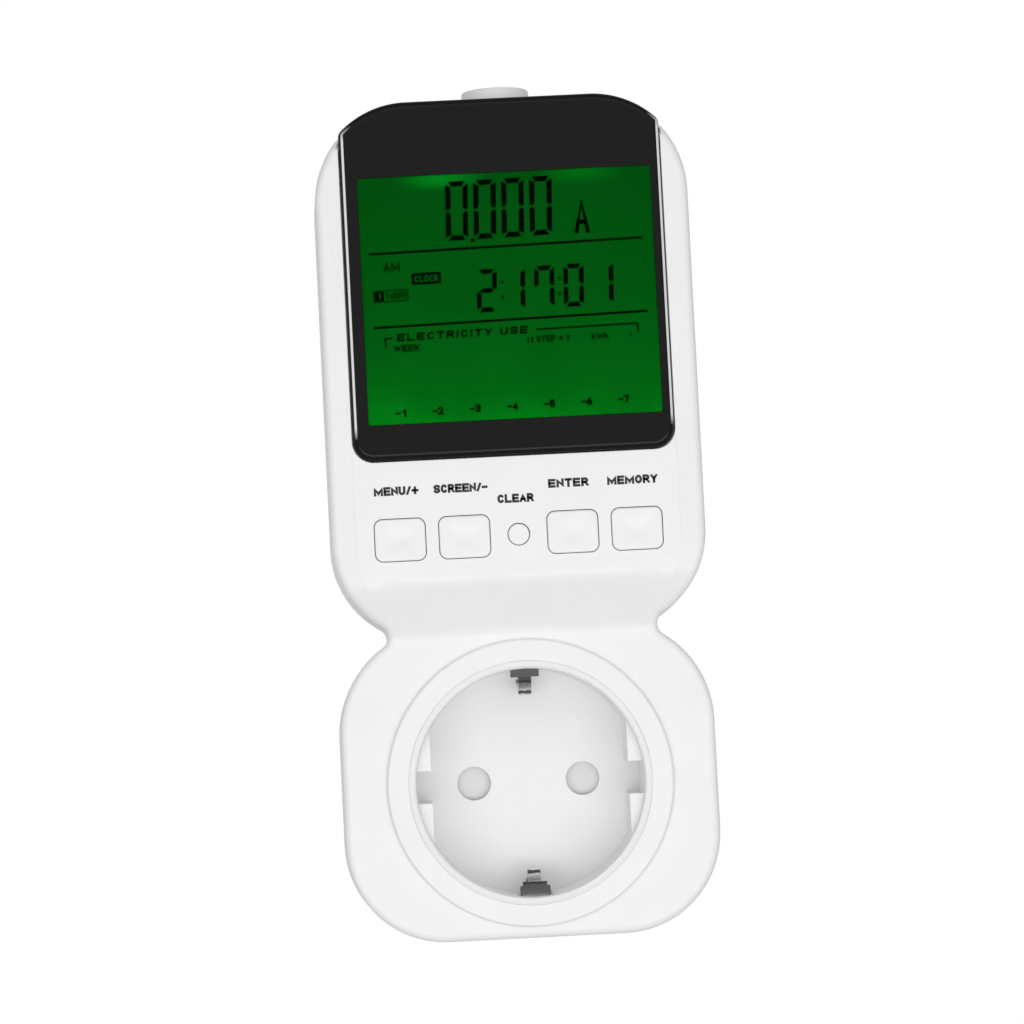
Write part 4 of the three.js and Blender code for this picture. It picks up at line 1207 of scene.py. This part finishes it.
def grown(loop, radius, y):
    """The same loop, moved out to a radius."""
    return [(x * radius / math.hypot(x, z), y, z * radius / math.hypot(x, z)) for x, _, z in loop]


def socket_cup():
    """The white cup: its rounded lip and outside, then the recess with its floor and slots."""
    shoulder = RIM + 2.5
    mouth = lip_circle(shoulder)
    lip = BORE_RADIUS - 0.02
    rows = [mouth, lip_circle(RIM + 0.35)]
    rows += [grown(mouth, RECESS_RADIUS + 0.45 - inset, RIM - 0.1 + depth)
             for inset, depth in reversed(rounding(0.45, 4))][1:]
    rows += [grown(mouth, lip - inset, RIM - 0.1 + depth) for inset, depth in reversed(rounding(0.08, 3))]
    rows += [grown(mouth, radius, y) for radius, y in (
        (lip, RIM + 4.3), (CUP_RADIUS, RIM + 4.3), (CUP_RADIUS, FLOOR_BACK))]
    shallow, deep, ledge = recess_outline(), recess_outline(DEEP_SLOT_FLOOR), RIM + 4.6
    wall_top, wall_foot = at_depth(shallow, shoulder), at_depth(deep, RECESS_FLOOR)
    holes = [pin_hole(side * PIN_X) for side in (-1, 1)]
    holes += [root_slot(side * CLIP_ROOT_Z) for side in (-1, 1)]
    shell = Shell()
    shell.strip(*rows)
    shell.strip(wall_top, at_depth(shallow, ledge), at_depth(deep, ledge), wall_foot)
    shell.plain_fill(mouth, wall_top)
    for hole in holes:
        shell.strip(*hole)
    shell.fill([wall_foot, *(hole[0] for hole in holes)], lambda x, z: RECESS_FLOOR)
    shell.fill([rows[-1], *(hole[-1] for hole in holes)], lambda x, z: FLOOR_BACK)
    shell.piece("socket_cup_body", "housing", "casing_white", ["socket_cup"])


def pin_hole(x):
    """A hole with an eased mouth, right through the cup's floor."""
    edge = 0.18
    loops = [circle(PIN_HOLE_RADIUS + edge - inset, RECESS_FLOOR + depth, x, 0, 48)
             for inset, depth in reversed(rounding(edge, 3))]
    return loops + [circle(PIN_HOLE_RADIUS, FLOOR_BACK, x, 0, 48)]


def root_slot(z):
    """The slot that a clip's foot goes through: it widens to the back, where the foot swings."""
    return [at_depth(rounded_rectangle(2.5, height, 0.1, 0, z, 2), y)
            for height, y in ((0.8, RECESS_FLOOR), (1.8, FLOOR_BACK))]


def earth_clip(node, side, head, head_widths):
    """A spring of bent strip: a wide head at the mouth and a narrow neck that bows inwards."""
    neck = [head[-1], (RIM + 7.4, 16.9), (RIM + 8.8, 15.7), (RIM + 10.3, 15.0), (RIM + 11.8, 14.95),
            (RIM + 13.6, 15.8), (RIM + 15.5, 16.7), (RECESS_FLOOR - 0.5, 17.1), (FLOOR_BACK + 1.2, 17.3)]
    thick = 0.5
    shell = Shell()
    strip_of(shell, head, head_widths, side, thick)
    strip_of(shell, neck, [1.12] * len(neck), side, thick)
    shell.piece(f"{node}_leaf", node, "nickel_plate", [node], CLIP_NICKEL_PAINTED_SHADE_AND_GLINTS, 30)


def earth_clips():
    """The upper head is a short crossbar; the lower one has cut corners and two shoulders."""
    earth_clip("upper_earth_clip", 1, [(RIM + 5.3, 19.5), (RIM + 5.7, 18.8), (RIM + 6.2, 18.1)], [2.45] * 3)
    earth_clip("lower_earth_clip", -1, [
        (RIM + 5.3, 19.6), (RIM + 5.45, 19.1), (RIM + 6.3, 17.8), (RIM + 6.4, 17.7), (RIM + 7.0, 17.1)],
        [2.1, 2.6, 2.6, 2.1, 2.1])


def strip_of(shell, line, half_widths, side, thick):
    """Closed strip along (y, z) points; its cross-section is a rectangle with eased edges."""
    loops = []
    for i, ((y, z), half) in enumerate(zip(line, half_widths)):
        before, after = line[max(i - 1, 0)], line[min(i + 1, len(line) - 1)]
        along = Vector((after[0] - before[0], after[1] - before[1])).normalized()
        normal = Vector((-along.y, along.x))
        loops.append([
            (half * x, y + normal.x * thick * t, side * (z + normal.y * thick * t))
            for x, t in ((-1, 0.15), (-0.95, 0), (0.95, 0), (1, 0.15),
                         (1, 0.85), (0.95, 1), (-0.95, 1), (-1, 0.85))
        ])
    shell.closed(loops)


# ------------------------------------------------------------------ plug and screws


def plug_outline(inset=0.0):
    """The plug's section: a circle with flats for the guide blocks and slots for the earths."""
    radius, flat, rib = PLUG_RADIUS - inset, 16.5 - inset, 2.4 - inset
    slot_half, slot_floor = 4.5 + inset, 17.0 - inset
    rib_end = math.degrees(math.asin(rib / radius))
    flat_end = math.degrees(math.acos(flat / radius))
    slot_start = math.degrees(math.acos(slot_half / radius))
    quarter = (
        arc((0, 0), radius, 0, rib_end, 3) + [(flat, rib)]
        + arc((0, 0), radius, flat_end, slot_start, 18) + [(slot_half, slot_floor)]
    )
    return four_quarters(quarter)


def plug_base():
    """The plug's body, with two pin holes and the hole for a wall socket's earth pin."""
    low = BACK - WALL - 0.15
    rows = [at_depth(plug_outline(), low)]
    rows += [at_depth(plug_outline(inset), -depth) for inset, depth in rounding(0.7, 4)]
    holes = [
        [circle(radius, y, x, z, 40) for radius, y in ((r + 0.15, 0.0), (r, -0.15), (r, low))]
        for x, z, r in ((-PIN_X, 0, 2.7), (PIN_X, 0, 2.7), (0, 10, 3.0))
    ]
    shell = Shell()
    shell.strip(*rows)
    for hole in holes:
        shell.strip(*hole)
    shell.plain_fill(rows[-1], *(hole[0] for hole in holes))
    shell.plain_fill(rows[0], *(hole[-1] for hole in holes))
    shell.piece("plug_base_body", "housing", "casing_white", ["plug_base"])


def pin(node):
    """A solid pin with a ball end and a fine groove where it meets the plug's face."""
    centre, (low, high) = middle(node), corners(node)
    radius = (high.x - low.x) / 2
    profile = [(radius, low.y), (radius, -0.2), (radius - 0.12, -0.05), (radius - 0.12, 0.15), (radius, 0.3)]
    profile += [(radius * math.cos(math.radians(a)), high.y - radius + radius * math.sin(math.radians(a)))
                for a in (0, 15, 30, 45, 60, 72, 84)]
    loops = [circle(r, y, centre.x, 0, 48) for r, y in profile]
    shell = Shell()
    shell.closed(loops)
    shell.piece(f"{node}_round", "housing", "nickel_plate", [node])


def plug_earth(node, side):
    """The plug's side contact: a flat strip with a shallow crown and a turned-in end."""
    low, high = corners(node)
    inner, outer = sorted((abs(low.z), abs(high.z)))
    thick = (outer - inner) * 0.62
    line = [(low.y, inner), (-15, inner), (-12, inner + 0.12), (-8, inner + 0.22), (-4, inner + 0.12),
            (-1.6, inner), (-1.0, inner - 0.35)]
    shell = Shell()
    strip_of(shell, line, [2.2, 2.5, 2.6, 2.6, 2.6, 2.6, 2.4], side, thick)
    shell.piece(f"{node}_strip", "housing", "nickel_plate", [node])


def cover_screw(node):
    """Pan head with a cross recess, and a tapered thread of separate turns."""
    centre, (low, high) = middle(node), corners(node)
    radius, top = (high.x - low.x) / 2, high.y
    under = top - 2
    arm, half, depth = 1.5, 0.34, 1.1
    cross = [(arm, -half), (arm, half), (half, half), (half, arm), (-half, arm), (-half, half), (-arm, half),
             (-arm, -half), (-half, -half), (-half, -arm), (half, -arm), (half, -half)]
    mouth = [(centre.x + x, top, centre.z + z) for x, z in cross]
    foot = [(centre.x + x * 0.55, top - depth, centre.z + z * 0.55) for x, z in cross]
    head = [circle(radius - inset, top - d, centre.x, centre.z, 40) for inset, d in rounding(0.6, 4)]
    shank = [(radius, under), (1.05, under)]
    turns = int((under - low.y - 1) / 0.9)
    for i in range(turns):
        y = under - 0.5 - 0.9 * i
        taper = 1 - 0.35 * smooth((i - turns + 4) / 4)
        shank += [(1.0 * taper, y), (1.3 * taper, y - 0.3), (1.3 * taper, y - 0.38), (1.0 * taper, y - 0.7)]
    shank.append((0.3, low.y))
    loops = [circle(r, y, centre.x, centre.z, 40) for r, y in shank]
    shell = Shell()
    shell.strip(*reversed(head), *loops)
    shell.face(loops[-1])
    shell.strip(mouth, foot)
    shell.face(foot)
    shell.plain_fill(head[-1], mouth)
    shell.piece(f"{node}_cross", "housing", "screw_steel", [node])


# ------------------------------------------------------------------ camera, stage and lights


def camera():
    """At the photograph's place: a long lens, a little left of and below the head, tilted."""
    yaw, pitch, roll = (math.radians(a) for a in (1.275, 2.927, -2.919))
    forward = Vector((math.sin(yaw) * math.cos(pitch), math.cos(yaw) * math.cos(pitch), math.sin(pitch)))
    level = forward.cross(Vector((0, 0, 1))).normalized()
    up = level.cross(forward)
    right = math.cos(roll) * level + math.sin(roll) * up
    up = right.cross(forward)
    data = bpy.data.cameras.new("camera")
    data.lens = 135.71
    data.clip_start, data.clip_end = 0.01, 50
    holder = put("camera", data)
    holder.matrix_world = Matrix.Translation(Vector((-15.54, -715.76, 12.58)) * MM) @ Matrix(
        (right, up, -forward)).transposed().to_4x4()
    bpy.context.scene.camera = holder


def floor():
    """A plain pale table, well below the meter, which hangs free as it does in the photograph."""
    half, drop = 2.0, 0.25
    level = cad_bounds[0].z - drop
    mesh = bpy.data.meshes.new("floor")
    mesh.from_pydata([(-half, -half, level), (half, -half, level), (half, half, level), (-half, half, level)],
                     [], [(0, 1, 2, 3)])
    table = put("floor", mesh)
    finish = Finish("floor")
    finish.tint(finish.noise(200, 3), (0.3, (0.9, 0.9, 0.9)), (0.7, (0.93, 0.93, 0.93)))
    finish.set(Roughness=0.9, Specular_IOR_Level=0.1)
    mesh.materials.append(finish.material)


def soft_light(name, place, target, width, height, power):
    """A rectangular lamp that faces its target and isn't seen itself."""
    data = bpy.data.lights.new(name, "AREA")
    data.shape = "RECTANGLE"
    data.size, data.size_y = width, height
    data.energy = power
    lamp = put(name, data)
    lamp.location = place
    lamp.rotation_mode = "QUATERNION"
    lamp.rotation_quaternion = (Vector(target) - Vector(place)).to_track_quat("-Z", "Y")
    lamp.visible_camera = False


def studio():
    """White in front of the meter and behind it, and greyer at the sides, which shades its edges."""
    world = bpy.data.worlds.new("studio")
    world.use_nodes = True
    tree = world.node_tree
    direction = tree.nodes.new("ShaderNodeTexCoord").outputs["Generated"]
    split = tree.nodes.new("ShaderNodeSeparateXYZ")
    tree.links.new(direction, split.inputs["Vector"])
    share = tree.nodes.new("ShaderNodeMapRange")
    share.inputs["From Min"].default_value = -1
    tree.links.new(split.outputs["Y"], share.inputs["Value"])
    ramp = tree.nodes.new("ShaderNodeValToRGB")
    levels = [(0.0, 0.91), (0.1, 0.82), (0.28, 0.39), (0.5, 0.39), (0.9, 0.48), (0.97, 1.0)]
    set_stops(ramp, [(position, (level, level, level)) for position, level in levels])
    tree.links.new(share.outputs["Result"], ramp.inputs["Fac"])
    tree.links.new(ramp.outputs["Color"], tree.nodes["Background"].inputs["Color"])
    bpy.context.scene.world = world


def lights():
    studio()
    head = (0, -0.05, 0.045)
    soft_light("key", (0.05, -0.8, 0.5), head, 0.6, 0.4, 0.28)
    soft_light("fill", (0, -0.8, -0.14), head, 0.9, 0.25, 2.1)
    bpy.context.scene.view_settings.view_transform = "Standard"


# ------------------------------------------------------------------ making it all


camera()
floor()
lights()
front_cover()
rear_cover()
display_window()
window_pane()
display_marks()
display_badges()
for node in KEYS:
    key(node)
reset_key()
top_button()
legends()
socket_cup()
earth_clips()
plug_base()
pin("live_pin")
pin("neutral_pin")
plug_earth("upper_plug_earth", 1)
plug_earth("lower_plug_earth", -1)
for number in range(1, 5):
    cover_screw(f"cover_screw_{number}")

for row in frame["record"]["subparts"]:
    carried = frame["nodes"][row["node"]]
    if not carried.hide_render:
        carried.data.materials.clear()
        carried.data.materials.append(MATERIALS[row["material_slot"]])
